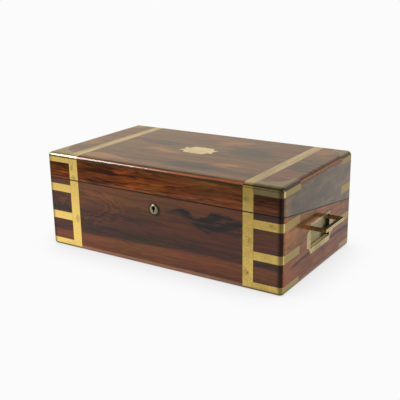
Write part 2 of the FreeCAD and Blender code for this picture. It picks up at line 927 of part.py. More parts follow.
handle_rooms = {}
handle_pins = {}
WELL_Y = ("handle_back - well_length / 2", "handle_back + well_length / 2")
WELL_Z = ("well_level - well_height / 2", "well_level + well_height / 2")
for side in SIDES:
    plate = ticket(
        f"{side}_handle_outline",
        mirrored(side, "half_width - handle_plate_thick", "half_width"),
        "handle_plate_length",
        "handle_plate_height",
        "handle_plate_notch",
        "handle_back",
        "handle_level",
    )
    pan = block(
        f"{side}_handle_pan",
        mirrored(side, "half_width - well_depth - well_sheet", "half_width"),
        (f"{WELL_Y[0]} - well_sheet", f"{WELL_Y[1]} + well_sheet"),
        (f"{WELL_Z[0]} - well_sheet", f"{WELL_Z[1]} + well_sheet"),
    )
    well = block(
        f"{side}_handle_well",
        mirrored(side, "half_width - well_depth", "half_width + tool_over"),
        WELL_Y,
        WELL_Z,
    )
    axis_x = at_side(side, "bail_axis_x")
    pin_length = "well_sheet + well_side_gap + bail_width + handle_pin_hold"
    near_start = f"{WELL_Y[0]} - well_sheet - handle_pin_hold"
    far_start = f"{WELL_Y[1]} - well_side_gap - bail_width"
    pins = []
    for end, start_y in (("near", near_start), ("far", far_start)):
        pins.append(
            rod(
                f"{side}_handle_pin_{end}",
                "y",
                (axis_x, start_y, "bail_level"),
                "handle_pin_radius",
                pin_length,
            )
        )
    handle_pins[side] = keep(group(f"{side}_handle_pins", *pins))
    solid = fuse(f"{side}_handle_solid", plate, pan)
    keep(cut(f"{side}_handle_plate", solid, well, *pins))
    handle_rooms[side] = fuse(f"{side}_handle_room", solid, *pins)

    outer_y = ("handle_back - bail_length / 2", "handle_back + bail_length / 2")
    arm_spans = {
        "near": (outer_y[0], f"{outer_y[0]} + bail_width"),
        "far": (f"{outer_y[1]} - bail_width", outer_y[1]),
    }
    thick_x = (f"{axis_x} - bail_thick / 2", f"{axis_x} + bail_thick / 2")
    thick_z = ("bail_level - bail_thick / 2", "bail_level + bail_thick / 2")
    if side == "right":
        arm_x, arm_z = (axis_x, f"{axis_x} + bail_reach"), thick_z
        grip_x, grip_z = (f"{axis_x} + bail_reach - bail_width", arm_x[1]), thick_z
    else:
        arm_x, arm_z = thick_x, ("bail_level - bail_reach", "bail_level")
        grip_x, grip_z = thick_x, (arm_z[0], "bail_level - bail_reach + bail_width")
    pieces = [block(f"{side}_bail_grip", grip_x, outer_y, grip_z)]
    for end, span in arm_spans.items():
        pieces.append(block(f"{side}_bail_arm_{end}", arm_x, span, arm_z))
        pieces.append(
            rod(
                f"{side}_bail_root_{end}",
                "y",
                (axis_x, span[0], "bail_level"),
                "bail_thick / 2",
                "bail_width",
            )
        )
    bail_bore = rod(
        f"{side}_bail_bore",
        "y",
        (axis_x, f"{outer_y[0]} - tool_over", "bail_level"),
        "handle_pin_radius + pin_play",
        "bail_length + 2 * tool_over",
    )
    keep(cut(f"{side}_handle_bail", fuse(f"{side}_bail_solid", *pieces), bail_bore))

# Writing flaps, one under each rim, with their pivot pins and ledges


def flap(name, front, sign):
    """Make a flap board and its leather; sign is -1 in the base and +1 in the lid."""

    def above(near, far):
        return (near, far) if sign > 0 else (f"-({far})", f"-({near})")

    x = ("-flap_edge", "flap_edge")
    along = ("flap_axis - flap_tail", front)
    board = slope_block(f"{name}_blank", x, along, above("flap_drop", "flap_far"))
    finger = slope_rod(
        f"{name}_finger", "0", front, ("-flap_far - tool_over", "flap_far + tool_over"), "finger_radius"
    )
    level = "flap_pin_level" if sign > 0 else "-flap_pin_level"
    axis_point = (slope_y("flap_axis", level), slope_z("flap_axis", level))
    bore = rod(
        f"{name}_bore",
        "x",
        ("-case_width", *axis_point),
        "flap_pin_radius + pin_play",
        "2 * case_width",
    )
    bore_zones = []
    pins = []
    ledges = []
    for side in SIDES:
        reach = mirrored(side, "flap_edge - flap_pin_reach", "half_width")
        bore_zones.append(block(f"{name}_bore_zone_{side}", reach, WHOLE_Y, WHOLE_Z))
        pin_x = mirrored(side, "flap_edge - flap_pin_reach", "inner_x + flap_pin_hold")
        pins.append(
            rod(
                f"{name}_pin_{side}",
                "x",
                (pin_x[0], *axis_point),
                "flap_pin_radius",
                f"({pin_x[1]}) - ({pin_x[0]})",
            )
        )
        ledges.append(
            slope_block(
                f"{name}_ledge_{side}",
                mirrored(side, "inner_x - ledge_width", "inner_x"),
                ("ledge_start", "base_ledge_end" if sign < 0 else f"{front} - ledge_end_gap"),
                above("ledge_near", "ledge_near + ledge_height"),
            )
        )
    bores = common(f"{name}_bores", bore, group(f"{name}_bore_zones", *bore_zones))
    keep(cut(f"{name}_board", board, finger, bores))
    leather = slope_block(
        f"{name}_leather_blank", x, along, above("flap_drop - leather_thick", "flap_drop")
    )
    keep(cut(f"{name}_leather", leather, finger))
    keep(group(f"{name}_ledges", *ledges))
    return keep(group(f"{name}_pins", *pins))


base_flap_pins = flap("base_flap", "base_flap_front", -1)
lid_flap_pins = flap("lid_flap", "lid_flap_front", 1)

# Boards of the base and the lid, mitred at the corners
BASE_Z = ("bottom_thick", "case_height - top_thick")
BOARDS = {
    "front_board": (("-half_depth", "-inner_y"), "half_width", "inner_x", False),
    "back_board": (("inner_y", "half_depth"), "inner_x", "half_width", False),
    "left_end": (("inner_x", "half_width"), "inner_y", "half_depth", True),
    "right_end": (("-half_width", "-inner_x"), "half_depth", "inner_y", True),
}
openings = {
    "base_front_board": [base_inlay, lock_opening],
    "base_back_board": [base_inlay, base_hinge_room],
    "base_left_end": [base_inlay, handle_rooms["left"], base_flap_pins],
    "base_right_end": [base_inlay, handle_rooms["right"], base_flap_pins],
    "lid_front_board": [lid_inlay, hook_plate_blank],
    "lid_back_board": [lid_inlay, lid_hinge_room],
    "lid_left_end": [lid_inlay, lid_flap_pins],
    "lid_right_end": [lid_inlay, lid_flap_pins],
}
for half, outline in (("base", base_outline), ("lid", lid_outline)):
    for board, (y, near_half, far_half, turned) in BOARDS.items():
        name = f"{half}_{board}"
        mitred = wedge(f"{name}_mitred", y, BASE_Z, near_half, far_half, turned)
        shaped = common(f"{name}_shaped", mitred, outline)
        keep(cut(name, shaped, *openings[name]))

bottom_slab = block("bottom_slab", WHOLE_X, WHOLE_Y, ("-tool_over", "bottom_thick"))
keep(
    cut("base_bottom_panel", common("bottom_shaped", bottom_slab, base_outline), base_inlay)
)

# Lid top and the blank name plate let into it


def outline_body(name, points, height, corner):
    """Make a body from a closed outline of X and Y expressions, measured from a corner point."""
    body = doc.addObject("PartDesign::Body", name)
    sketch = body.newObject("Sketcher::SketchObject", f"{name}_outline")
    for plane in body.Origin.OriginFeatures:
        if plane.Role == "XY_Plane":
            sketch.AttachmentSupport = [(plane, "")]
    sketch.MapMode = "FlatFace"
    ring = []
    for number in range(len(points)):
        turn = 2 * math.pi * number / len(points)
        ring.append(FreeCAD.Vector(100 + 50 * math.cos(turn), 100 + 50 * math.sin(turn), 0))
    for number, point in enumerate(ring):
        sketch.addGeometry(Part.LineSegment(point, ring[(number + 1) % len(ring)]))
    for number, point in enumerate(ring):
        after = (number + 1) % len(ring)
        sketch.addConstraint(Sketcher.Constraint("Coincident", number, 2, after, 1))
    for number, (x, y) in enumerate(points):
        for kind, text in (("DistanceX", x), ("DistanceY", y)):
            start = ring[number].x if kind == "DistanceX" else ring[number].y
            index = sketch.addConstraint(Sketcher.Constraint(kind, -1, 1, number, 1, start))
            sketch.renameConstraint(index, f"{kind}_{number}")
            sketch.setExpression(f"Constraints.{kind}_{number}", bind(text))
    pad = body.newObject("PartDesign::Pad", f"{name}_pad")
    pad.Profile = sketch
    drive(pad, Length=height)
    body.Tip = pad
    place(body, *corner)
    return body


half_plate = [
    ("name_plate_length / 2", "name_plate_ear_level"),
    ("name_plate_notch_side", "name_plate_notch_level"),
    ("name_plate_shoulder", "name_plate_width / 2"),
    ("name_plate_peak_half", "name_plate_width / 2"),
    ("0", "name_plate_width / 2 + name_plate_peak"),
    ("-name_plate_peak_half", "name_plate_width / 2"),
    ("-name_plate_shoulder", "name_plate_width / 2"),
    ("-name_plate_notch_side", "name_plate_notch_level"),
    ("name_plate_length / -2", "name_plate_ear_level"),
    ("-name_plate_waist", "0"),
]
plate_points = []
for sign in ("", "-"):
    for x, y in half_plate:
        plate_points.append((f"name_plate_length + {sign}({x})", f"name_plate_width + {sign}({y})"))
name_plate = keep(
    outline_body(
        "lid_name_plate",
        plate_points,
        "brass_thick",
        (
            "name_plate_side - name_plate_length",
            "name_plate_back - name_plate_width",
            "case_height - brass_thick",
        ),
    )
)
top_slab = block(
    "top_slab", WHOLE_X, WHOLE_Y, ("case_height - top_thick", "case_height + tool_over")
)
top_shaped = common("top_shaped", top_slab, lid_outline)
keep(cut("lid_top_panel", cut("top_let_in", top_shaped, lid_inlay), name_plate))

# Pen section behind the front board
PEN_Y = ("-inner_y", "pen_back")
fitting_zone = slope_block(
    "fitting_zone", WHOLE_X, WHOLE_SLOPE, ("-2 * case_height", "-fitting_drop")
)
under_flap_zone = slope_block(
    "under_flap_zone", WHOLE_X, WHOLE_SLOPE, ("-2 * case_height", "-ledge_near")
)
partition_blank = block(
    "partition_blank",
    ("-inner_x", "inner_x"),
    ("pen_back", "partition_back"),
    ("bottom_thick", "case_height"),
)
keep(common("pen_partition", partition_blank, under_flap_zone))
bearers = []
for side in SIDES:
    divider_blank = block(
        f"{side}_divider_blank",
        mirrored(side, "tray_end", "inner_x - ink_bay"),
        PEN_Y,
        ("bottom_thick", "case_height"),
    )
    divider_low = common(f"{side}_divider_low", divider_blank, fitting_zone)
    keep(common(f"{side}_divider", divider_low, base_outline))
    keep(
        block(
            f"{side}_ink_shelf",
            mirrored(side, "inner_x - ink_bay", "inner_x"),
            PEN_Y,
            ("shelf_top - shelf_thick", "shelf_top"),
        )
    )
    bearers.append(
        block(
            f"tray_bearer_{side}",
            mirrored(side, "tray_end - bearer_width", "tray_end"),
            PEN_Y,
            ("tray_base - bearer_height", "tray_base"),
        )
    )
keep(group("tray_bearers", *bearers))

tray_blank = block(
    "tray_blank",
    ("tray_gap - tray_end", "tray_end - tray_gap"),
    ("tray_gap - inner_y", "pen_back - tray_gap"),
    ("tray_base", "case_height"),
)
tray_hollows = [
    rod(
        "tray_trough",
        "x",
        (
            "trough_length / -2",
            "pen_middle",
            "rim_tray - fitting_drop - trough_depth + trough_radius",
        ),
        "trough_radius",
        "trough_length",
    )
]
for side in SIDES:
    tray_hollows.append(
        block(
            f"nib_well_{side}",
            mirrored(side, "nib_well_end - nib_well_length", "nib_well_end"),
            ("pen_middle - nib_well_width / 2", "pen_middle + nib_well_width / 2"),
            ("rim_tray - fitting_drop - trough_depth", "case_height"),
        )
    )
keep(cut("pen_tray", common("tray_sloped", tray_blank, fitting_zone), *tray_hollows))

# Ink bottles and their caps
for side in SIDES:
    middle_x = at_side(side, "ink_middle")
    neck_top = "shelf_top + ink_height + ink_neck_height"
    bottle_body = block(
        f"{side}_bottle_body",
        (f"{middle_x} - ink_width / 2", f"{middle_x} + ink_width / 2"),
        ("pen_middle - ink_width / 2", "pen_middle + ink_width / 2"),
        ("shelf_top", "shelf_top + ink_height"),
    )
    foot = (middle_x, "pen_middle", "shelf_top")
    neck = rod(f"{side}_bottle_neck", "z", foot, "ink_neck_radius", "ink_height + ink_neck_height")
    inside = (middle_x, "pen_middle", "shelf_top + ink_wall")
    hollow = rod(
        f"{side}_bottle_hollow",
        "z",
        inside,
        "ink_width / 2 - ink_wall",
        "ink_height - 2 * ink_wall",
    )
    bore = rod(
        f"{side}_bottle_bore", "z", inside, "ink_bore_radius", "ink_height + ink_neck_height"
    )
    bottle = fuse(f"{side}_bottle_solid", bottle_body, neck)
    keep(cut(f"{side}_ink_bottle", bottle, hollow, bore))
    skirt_base = f"{neck_top} - ink_neck_height + ink_cap_gap"
    drum = rod(
        f"{side}_cap_drum",
        "z",
        (middle_x, "pen_middle", skirt_base),
        "ink_cap_radius",
        "ink_neck_height - ink_cap_gap + ink_cap_top",
    )
    socket = rod(
        f"{side}_cap_socket",
        "z",
        (middle_x, "pen_middle", f"{skirt_base} - tool_over"),
        "ink_neck_radius + ink_cap_gap",
        "ink_neck_height - ink_cap_gap + tool_over",
    )
    keep(cut(f"{side}_ink_cap", drum, socket))

# Checks and files
doc.recompute()
for item in doc.Objects:
    if "Invalid" in item.State or "Error" in item.State:
        raise RuntimeError(f"{item.Label} did not recompute: {item.State}")
os.makedirs("parts", exist_ok=True)
for item in subparts:
    shape = item.Shape
    if shape.isNull() or not shape.isValid() or not shape.Solids:
        raise RuntimeError(f"{item.Label} has no valid solid")
    shape.exportStep(f"parts/{item.Label}.step")
    print(f"{item.Label}: {len(shape.Solids)} solids, {shape.Volume / 1000:.2f} cm3")
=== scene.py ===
"""Looks of a brass-bound rosewood campaign desk: a box that opens out into a writing slope.

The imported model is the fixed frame, in metres, +Z up. This script gives every piece its finish and adds
the light, the floor and the camera. It moves and resizes nothing.
"""
import math

import bpy
from mathutils import Matrix, Vector


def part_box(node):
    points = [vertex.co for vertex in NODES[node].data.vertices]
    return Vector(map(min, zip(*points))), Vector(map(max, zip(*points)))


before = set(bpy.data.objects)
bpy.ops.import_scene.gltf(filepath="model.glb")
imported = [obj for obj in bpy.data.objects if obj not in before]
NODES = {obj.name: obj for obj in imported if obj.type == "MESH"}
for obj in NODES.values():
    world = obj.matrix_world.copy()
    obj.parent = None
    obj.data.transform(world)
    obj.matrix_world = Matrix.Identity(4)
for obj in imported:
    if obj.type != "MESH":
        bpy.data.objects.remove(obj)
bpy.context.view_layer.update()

MM = 0.001
HALF_WIDTH = 250 * MM
HALF_DEPTH = 143 * MM
HEIGHT = 185 * MM

# Brass let into the case: the straps' middle and half width, the levels of the edges of bands and
# caps, and how far these run along the ends from the front and from the back
STRAP_X = 186.3 * MM
STRAP_HALF = 10 * MM
BRASS_LEVELS = [level * MM for level in (15.75, 55.25, 70.55, 110.25, 125.55, 168.0)]
FRONT_REACH = 62.5 * MM
BACK_REACH = 48.5 * MM
# How far the darkening at the upright corners reaches onto the front and the back
CORNER_DARK_REACH = 10.5 * MM

# The plane on which lid and base part, from the hinge pins up to the front of the lid
HINGE_LOW, HINGE_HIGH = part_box("hinge_pins")
HINGE_Y = (HINGE_LOW.y + HINGE_HIGH.y) / 2
HINGE_Z = (HINGE_LOW.z + HINGE_HIGH.z) / 2
SPLIT_FRONT_Z = 136.5 * MM
SPLIT_TILT = math.atan2(SPLIT_FRONT_Z - HINGE_Z, HINGE_Y + HALF_DEPTH)

# Which nodes take which finish
BASE_BRASS = [
    "base_front_straps", "base_back_straps", "base_front_bands", "base_back_bands", "base_foot_caps",
]
LID_BRASS = ["lid_straps", "lid_back_bands"]
HANDLE_PLATES = ["left_handle_plate", "right_handle_plate"]
PIN_BRASS = ["base_brass_pins", "lid_brass_pins"]
FITTING_BRASS = [
    "base_hinge_leaves", "lid_hinge_leaves", "left_handle_pins", "right_handle_pins", "base_flap_pins",
    "lid_flap_pins", "left_ink_cap", "right_ink_cap", "lock_plate", "lock_hook_plate", "lock_case",
]
STEEL = ["hinge_pins", "base_hinge_screws", "lid_hinge_screws", "lock_bolt"]
MAHOGANY_LONG = [
    "base_flap_board", "lid_flap_board", "pen_partition", "tray_bearers", "pen_tray",
    "left_ink_shelf", "right_ink_shelf", "base_bottom_panel",
]
MAHOGANY_CROSS = ["left_divider", "right_divider", "base_flap_ledges", "lid_flap_ledges"]
GLASS = ["left_ink_bottle", "right_ink_bottle"]


class Value:
    """A number that varies over a surface, so that a pattern reads as a plain sum."""

    def __init__(self, graph, socket):
        self.graph = graph
        self.socket = socket

    def __add__(self, other):
        return self.graph.math("ADD", self, other)

    def __radd__(self, other):
        return self.graph.math("ADD", other, self)

    def __sub__(self, other):
        return self.graph.math("SUBTRACT", self, other)

    def __rsub__(self, other):
        return self.graph.math("SUBTRACT", other, self)

    def __mul__(self, other):
        return self.graph.math("MULTIPLY", self, other)

    def __rmul__(self, other):
        return self.graph.math("MULTIPLY", other, self)

    def __truediv__(self, other):
        return self.graph.math("DIVIDE", self, other)

    def __abs__(self):
        return self.graph.math("ABSOLUTE", self)


class Graph:
    """The node graph of one material or of the world."""

    def __init__(self, owner):
        owner.use_nodes = True
        self.owner = owner
        self.tree = owner.node_tree
        self.tree.nodes.clear()

    def node(self, kind):
        return self.tree.nodes.new(kind)

    def put(self, socket, value):
        """Sets a socket to a plain number or colour, or links a pattern to it."""
        if isinstance(value, Value):
            self.tree.links.new(value.socket, socket)
        elif isinstance(value, tuple) and len(value) == 3 and socket.type == "RGBA":
            socket.default_value = (*value, 1.0)
        else:
            socket.default_value = value

    def out(self, node, index=0):
        return Value(self, node.outputs[index])

    def math(self, operation, first, second=0.0):
        node = self.node("ShaderNodeMath")
        node.operation = operation
        self.put(node.inputs[0], first)
        self.put(node.inputs[1], second)
        return self.out(node)

    def both(self, first, second):
        return self.math("MINIMUM", first, second)

    def either(self, first, second):
        return self.math("MAXIMUM", first, second)

    def split(self, node, output):
        parts = self.node("ShaderNodeSeparateXYZ")
        self.put(parts.inputs[0], Value(self, node.outputs[output]))
        return self.out(parts, 0), self.out(parts, 1), self.out(parts, 2)

    def coordinates(self):
        """The place on the piece in metres, in the frame at rest."""
        return self.split(self.node("ShaderNodeTexCoord"), "Object")

    def facing(self):
        """The three parts of the surface's own direction."""
        return self.split(self.node("ShaderNodeTexCoord"), "Normal")

    def vector(self, x, y, z):
        node = self.node("ShaderNodeCombineXYZ")
        for socket, value in zip(node.inputs, (x, y, z)):
            self.put(socket, value)
        return self.out(node)

    def noise(self, x, y, z, detail=3.0, rough=0.5, twist=0.0):
        """Soft noise from about 0.25 to 0.75, one swell for each unit of x, y and z."""
        node = self.node("ShaderNodeTexNoise")
        self.put(node.inputs["Vector"], self.vector(x, y, z))
        node.inputs["Scale"].default_value = 1.0
        node.inputs["Detail"].default_value = detail
        node.inputs["Roughness"].default_value = rough
        node.inputs["Distortion"].default_value = twist
        return self.out(node)

    def rise(self, value, low, high):
        """0 below low, 1 above high, and a smooth step between them."""
        node = self.node("ShaderNodeMapRange")
        node.interpolation_type = "SMOOTHSTEP"
        self.put(node.inputs["Value"], value)
        self.put(node.inputs["From Min"], low)
        self.put(node.inputs["From Max"], high)
        return self.out(node)

    def fall(self, value, low, high):
        """1 below low, 0 above high."""
        return 1.0 - self.rise(value, low, high)

    def between(self, value, low, high, soft):
        """1 between low and high, with soft ends."""
        return self.rise(value, low - soft, low + soft) * self.fall(value, high - soft, high + soft)

    def ramp(self, value, stops):
        """A colour for each level: stops are (level, colour) pairs."""
        node = self.node("ShaderNodeValToRGB")
        elements = node.color_ramp.elements
        while len(elements) < len(stops):
            elements.new(0.5)
        for element, (level, colour) in zip(elements, stops):
            element.position = level
            element.color = (*colour, 1.0)
        self.put(node.inputs[0], value)
        return self.out(node)

    def curve(self, value, points, floor, ceiling):
        """A smooth line through given points, whose levels lie between floor and ceiling."""
        low = points[0][0]
        high = points[-1][0]
        node = self.node("ShaderNodeFloatCurve")
        line = node.mapping.curves[0]
        while len(line.points) < len(points):
            line.points.new(0.5, 0.5)
        for spot, (place, level) in zip(line.points, points):
            spot.location = ((place - low) / (high - low), (level - floor) / (ceiling - floor))
        node.mapping.update()
        self.put(node.inputs["Value"], (value - low) / (high - low))
        return self.out(node) * (ceiling - floor) + floor

    def mix(self, share, first, second, blend="MIX"):
        node = self.node("ShaderNodeMix")
        node.data_type = "RGBA"
        node.blend_type = blend
        self.put(node.inputs[0], share)
        self.put(node.inputs[6], first)
        self.put(node.inputs[7], second)
        return self.out(node, 2)

    def blend(self, share, first, second):
        """A number between two others."""
        return first + (second - first) * share

    def bump(self, height, distance, strength=1.0):
        node = self.node("ShaderNodeBump")
        node.inputs["Strength"].default_value = strength
        node.inputs["Distance"].default_value = distance
        self.put(node.inputs["Height"], height)
        return self.out(node)

    def surface(self, **values):
        """The finished surface. Names are the shader's own, with _ for a space."""
        shader = self.node("ShaderNodeBsdfPrincipled")
        for name, value in values.items():
            self.put(shader.inputs[name.replace("_", " ")], value)
        self.finish(shader.outputs[0])

    def finish(self, socket, kind="ShaderNodeOutputMaterial"):
        output = self.node(kind)
        self.tree.links.new(socket, output.inputs["Surface"])


def new_material(name):
    return Graph(bpy.data.materials.new(name))


def paint(names, graph):
    """Gives CAD nodes a finish in place of the plain one that they came with."""
    for name in names:
        mesh = NODES[name].data
        mesh.materials.clear()
        mesh.materials.append(graph.owner)


# Patterns that several finishes share


def height_above_split(y, z):
    """Distance from the plane on which lid and base part."""
    return (z - HINGE_Z) * math.cos(SPLIT_TILT) + (y - HINGE_Y) * math.sin(SPLIT_TILT)


def rim_gap_shade(g, y, z):
    """Painted shade of the gap on the outside, along the line where lid and base meet."""
    turn_z = g.facing()[2]
    return g.fall(abs(height_above_split(y, z)), 0.7 * MM, 1.7 * MM) * g.fall(abs(turn_z), 0.4, 0.7)


def outer_skin(g, x, y, z):
    """1 on the outside of the case, 0 on the inside."""
    depth_x = g.rise(abs(x), HALF_WIDTH - 3 * MM, HALF_WIDTH - 2 * MM)
    depth_y = g.rise(abs(y), HALF_DEPTH - 3 * MM, HALF_DEPTH - 2 * MM)
    return g.either(g.either(depth_x, depth_y), g.rise(z, HEIGHT - 3 * MM, HEIGHT - 2 * MM))


def seams(g, x, y, z, width):
    """Dark lines where straps, bands and caps meet the wood."""
    level_lines = 0.0
    for level in BRASS_LEVELS:
        level_lines = g.either(g.fall(abs(z - level), 0.2 * width, width), level_lines)
    past_strap = g.rise(abs(x), STRAP_X + STRAP_HALF - 0.5 * MM, STRAP_X + STRAP_HALF)
    near_front = g.fall(y, FRONT_REACH - HALF_DEPTH, FRONT_REACH - HALF_DEPTH + 0.5 * MM)
    near_back = g.rise(y, HALF_DEPTH - BACK_REACH - 0.5 * MM, HALF_DEPTH - BACK_REACH)
    level_lines = level_lines * past_strap * g.either(near_front, near_back)
    strap_lines = g.fall(abs(abs(abs(x) - STRAP_X) - STRAP_HALF), 0.2 * width, width)
    return g.either(strap_lines, level_lines) * outer_skin(g, x, y, z)


def edge_masks(g, x):
    """1 on the darker side of the upright corners, on their painted highlight where they are also worn by
    rubbing, and on the painted shade of the bottom edges.
    """
    turn_x, turn_y, turn_z = g.facing()
    upright = g.fall(abs(turn_z), 0.3, 0.6)
    # Darker on the rounding of the upright corners and on the front and back near the ends
    near_end = g.rise(abs(x), HALF_WIDTH - CORNER_DARK_REACH - 2 * MM, HALF_WIDTH - CORNER_DARK_REACH + 6 * MM)
    round_corner = g.rise(abs(turn_x), 0.1, 0.4)
    dark_corner = g.either(near_end, round_corner) * g.fall(abs(turn_x), 0.78, 0.97) * upright
    # A painted highlight along the end side of each upright corner's rounding, which is also worn by
    # rubbing
    rubbed_glint = g.between(abs(turn_x), 0.88, 0.97, 0.03) * upright * g.rise(abs(turn_y), 0.12, 0.22)
    # Painted shade along the bottom edges
    foot = g.fall(turn_z, -0.22, -0.08)
    return dark_corner, rubbed_glint, foot


def top_edge_masks(g, x):
    """1 near the right end, 1 on the worn strip along the lid's top edges, which also takes a painted
    highlight, and 1 on the painted dark line of shade beside it.
    """
    turn_z = g.facing()[2]
    right = g.rise(x, HALF_WIDTH - 12 * MM, HALF_WIDTH - 8 * MM)
    # Worn wood together with a painted highlight
    worn = g.blend(right, g.between(turn_z, 0.46, 0.80, 0.07), g.between(turn_z, 0.22, 0.56, 0.07))
    # A painted dark line of shade
    line = g.blend(right, g.between(turn_z, 0.12, 0.36, 0.07), g.between(turn_z, 0.64, 0.82, 0.07))
    return right, worn, line


# Rosewood

WOOD_BLACK = (0.009, 0.006, 0.005)
WOOD_CORNER_DARK = (0.022, 0.010, 0.005)
BROWN_STOPS = [(0.12, WOOD_BLACK), (0.34, (0.028, 0.013, 0.010)), (0.56, (0.088, 0.029, 0.013)),
               (0.90, (0.205, 0.072, 0.026))]
ORANGE_STOPS = [(0.12, WOOD_BLACK), (0.34, (0.045, 0.012, 0.003)), (0.56, (0.175, 0.043, 0.006)),
                (0.90, (0.410, 0.120, 0.018))]
FADED_STOPS = [(0.12, (0.014, 0.011, 0.008)), (0.34, (0.034, 0.022, 0.013)), (0.56, (0.096, 0.042, 0.010)),
               (0.90, (0.240, 0.120, 0.040))]
TAN_STOPS = [(0.12, WOOD_BLACK), (0.34, (0.040, 0.017, 0.009)), (0.56, (0.178, 0.060, 0.018)),
             (0.90, (0.420, 0.165, 0.058))]
GREY_STOPS = [(0.12, (0.014, 0.012, 0.008)), (0.34, (0.033, 0.026, 0.014)), (0.56, (0.088, 0.052, 0.016)),
              (0.90, (0.220, 0.145, 0.055))]
# Tints of purple and of olive that drift through the wood
HUE_STOPS = [(0.34, (1.12, 0.92, 1.06)), (0.66, (0.90, 1.06, 0.92))]
WORN_EDGE_HIGHLIGHT = (0.42, 0.095, 0.022)
WORN_RIGHT_EDGE_HIGHLIGHT = (0.58, 0.19, 0.075)
WORN_CORNER_GLINT = (0.30, 0.19, 0.12)
MAHOGANY_FLECK = (0.05, 0.017, 0.010)
MAHOGANY_STOPS = [(0.3, (0.10, 0.030, 0.014)), (0.5, (0.22, 0.075, 0.033)), (0.7, (0.34, 0.14, 0.066))]

FRENCH_POLISH = {"Coat_Weight": 0.45, "Coat_Roughness": 0.075, "Coat_IOR": 1.5, "Specular_IOR_Level": 0.05}
WORN_POLISH = {"Coat_Weight": 0.37, "Coat_Roughness": 0.06, "Coat_IOR": 1.5, "Specular_IOR_Level": 0.05}
MIRROR_POLISH = {"Coat_Weight": 0.08, "Coat_Roughness": 0.05, "Coat_IOR": 1.5, "Specular_IOR_Level": 0.05,
                 "Metallic": 0.42}
GREY_POLISH = {"Coat_Weight": 0.60, "Coat_Roughness": 0.10, "Coat_IOR": 1.5, "Specular_IOR_Level": 0.05}


def rosewood(name, axes, seed, figure, contrast=1.0, rough=0.34, polish=FRENCH_POLISH, stops=BROWN_STOPS):
    """Polished rosewood on the outside of a board, and plain mahogany on its inside.

    axes are the grain's direction, the one across it and the one into the board. The figure gives each
    place its tone, from 0 for black to 1 for tan, and its share of orange.
    """
    g = new_material(name)
    x, y, z = g.coordinates()
    place = {"x": x, "y": y, "z": z}
    along, across, inward = (place[axis] for axis in axes)
    drift = g.noise(along * 3.0, across * 9.0, inward * 9.0 + seed, detail=2.0) - 0.5
    line = across + drift * (34 * MM)
    wander = g.noise(along * 16.0, line * 60.0, inward * 40.0 + seed, detail=3.0) - 0.5
    line = line + wander * (6 * MM)
    bands = g.noise(along * 2.5, line * 55.0, inward * 30.0 + seed, detail=4.0, rough=0.6)
    streaks = g.noise(along * 14.0, line * 210.0, inward * 150.0 + seed, detail=4.0, rough=0.65)
    growth = g.noise(along * 4.0, line * 50.0, inward * 30.0 + seed + 20.0, detail=3.0, rough=0.6)
    veins = g.fall(abs(growth - 0.5), 0.004, 0.030) * g.rise(streaks, 0.38, 0.54)
    fibres = g.noise(along * 45.0, line * 560.0, inward * 400.0 + seed, detail=3.0, rough=0.6)
    pores = g.noise(along * 90.0, across * 1700.0, inward * 1700.0, detail=1.0)
    tone, warm = figure(g, along, across, line)
    tone = tone + (bands - 0.5) * (0.75 * contrast) + (streaks - 0.5) * (0.70 * contrast)
    tone = tone + (fibres - 0.5) * (0.45 * contrast) - veins * (0.20 * contrast)
    colour = g.mix(warm, g.ramp(tone, stops), g.ramp(tone, ORANGE_STOPS))
    hue = g.noise(along * 10.0, line * 16.0, inward * 16.0 + seed + 40.0, detail=3.0)
    colour = g.mix(1.0, colour, g.ramp(hue, HUE_STOPS), "MULTIPLY")
    skin = g.either(outer_skin(g, x, y, z), g.fall(abs(height_above_split(y, z)), 2 * MM, 3 * MM))
    colour = g.mix(skin, g.ramp(bands * 0.6 + streaks * 0.4, MAHOGANY_STOPS), colour)
    dark_corner, rubbed_glint, foot = edge_masks(g, x)
    right_edge, worn, edge_shade_line = top_edge_masks(g, x)
    # The strip along the top edges is worn wood together with a painted highlight
    edge_colour = g.mix(right_edge, WORN_EDGE_HIGHLIGHT, WORN_RIGHT_EDGE_HIGHLIGHT)
    colour = g.mix(worn * g.rise(bands, 0.2, 0.5) * 0.7, colour, edge_colour)
    # Painted highlight on the upright corners, over wear from rubbing
    colour = g.mix(rubbed_glint * 0.5, colour, WORN_CORNER_GLINT)
    # Darker at the upright corners and near the ends
    colour = g.mix(dark_corner * (0.72 + bands * 0.4), colour, WOOD_CORNER_DARK)
    # Painted shade along the foot, a painted dark line beside the lid's top edges and painted shade in the
    # gap where lid and base meet, with dark joints at the brass and dark pores
    dirt_and_shade = g.either(foot * 0.85, edge_shade_line * (0.6 - right_edge * 0.15))
    dirt_and_shade = g.either(dirt_and_shade, rim_gap_shade(g, y, z) * 0.92)
    dirt_and_shade = g.either(dirt_and_shade, seams(g, x, y, z, 0.8 * MM) * 0.75)
    dirt_and_shade = g.either(dirt_and_shade, g.rise(pores, 0.62, 0.74) * 0.35)
    colour = g.mix(dirt_and_shade, colour, WOOD_BLACK)
    finish = dict(polish)
    finish["Coat_Weight"] = skin * (1.0 - foot) * (1.0 - dark_corner * 0.6) * polish["Coat_Weight"]
    if "Metallic" in polish:
        finish["Metallic"] = skin * polish["Metallic"]
    g.surface(
        Base_Color=colour,
        Roughness=g.blend(skin, 0.5, rough) + (streaks - 0.5) * 0.1,
        Normal=g.bump(streaks * 0.6 + pores * 0.4, 0.03 * MM, 0.5),
        **finish,
    )
    return g


def spot(g, along, across, centre, size):
    """A soft round patch, 1 at its centre and 0 at its rim."""
    reach_u = (along - centre[0] * MM) / (size[0] * MM)
    reach_v = (across - centre[1] * MM) / (size[1] * MM)
    return g.fall(reach_u * reach_u + reach_v * reach_v, 0.1, 1.0)


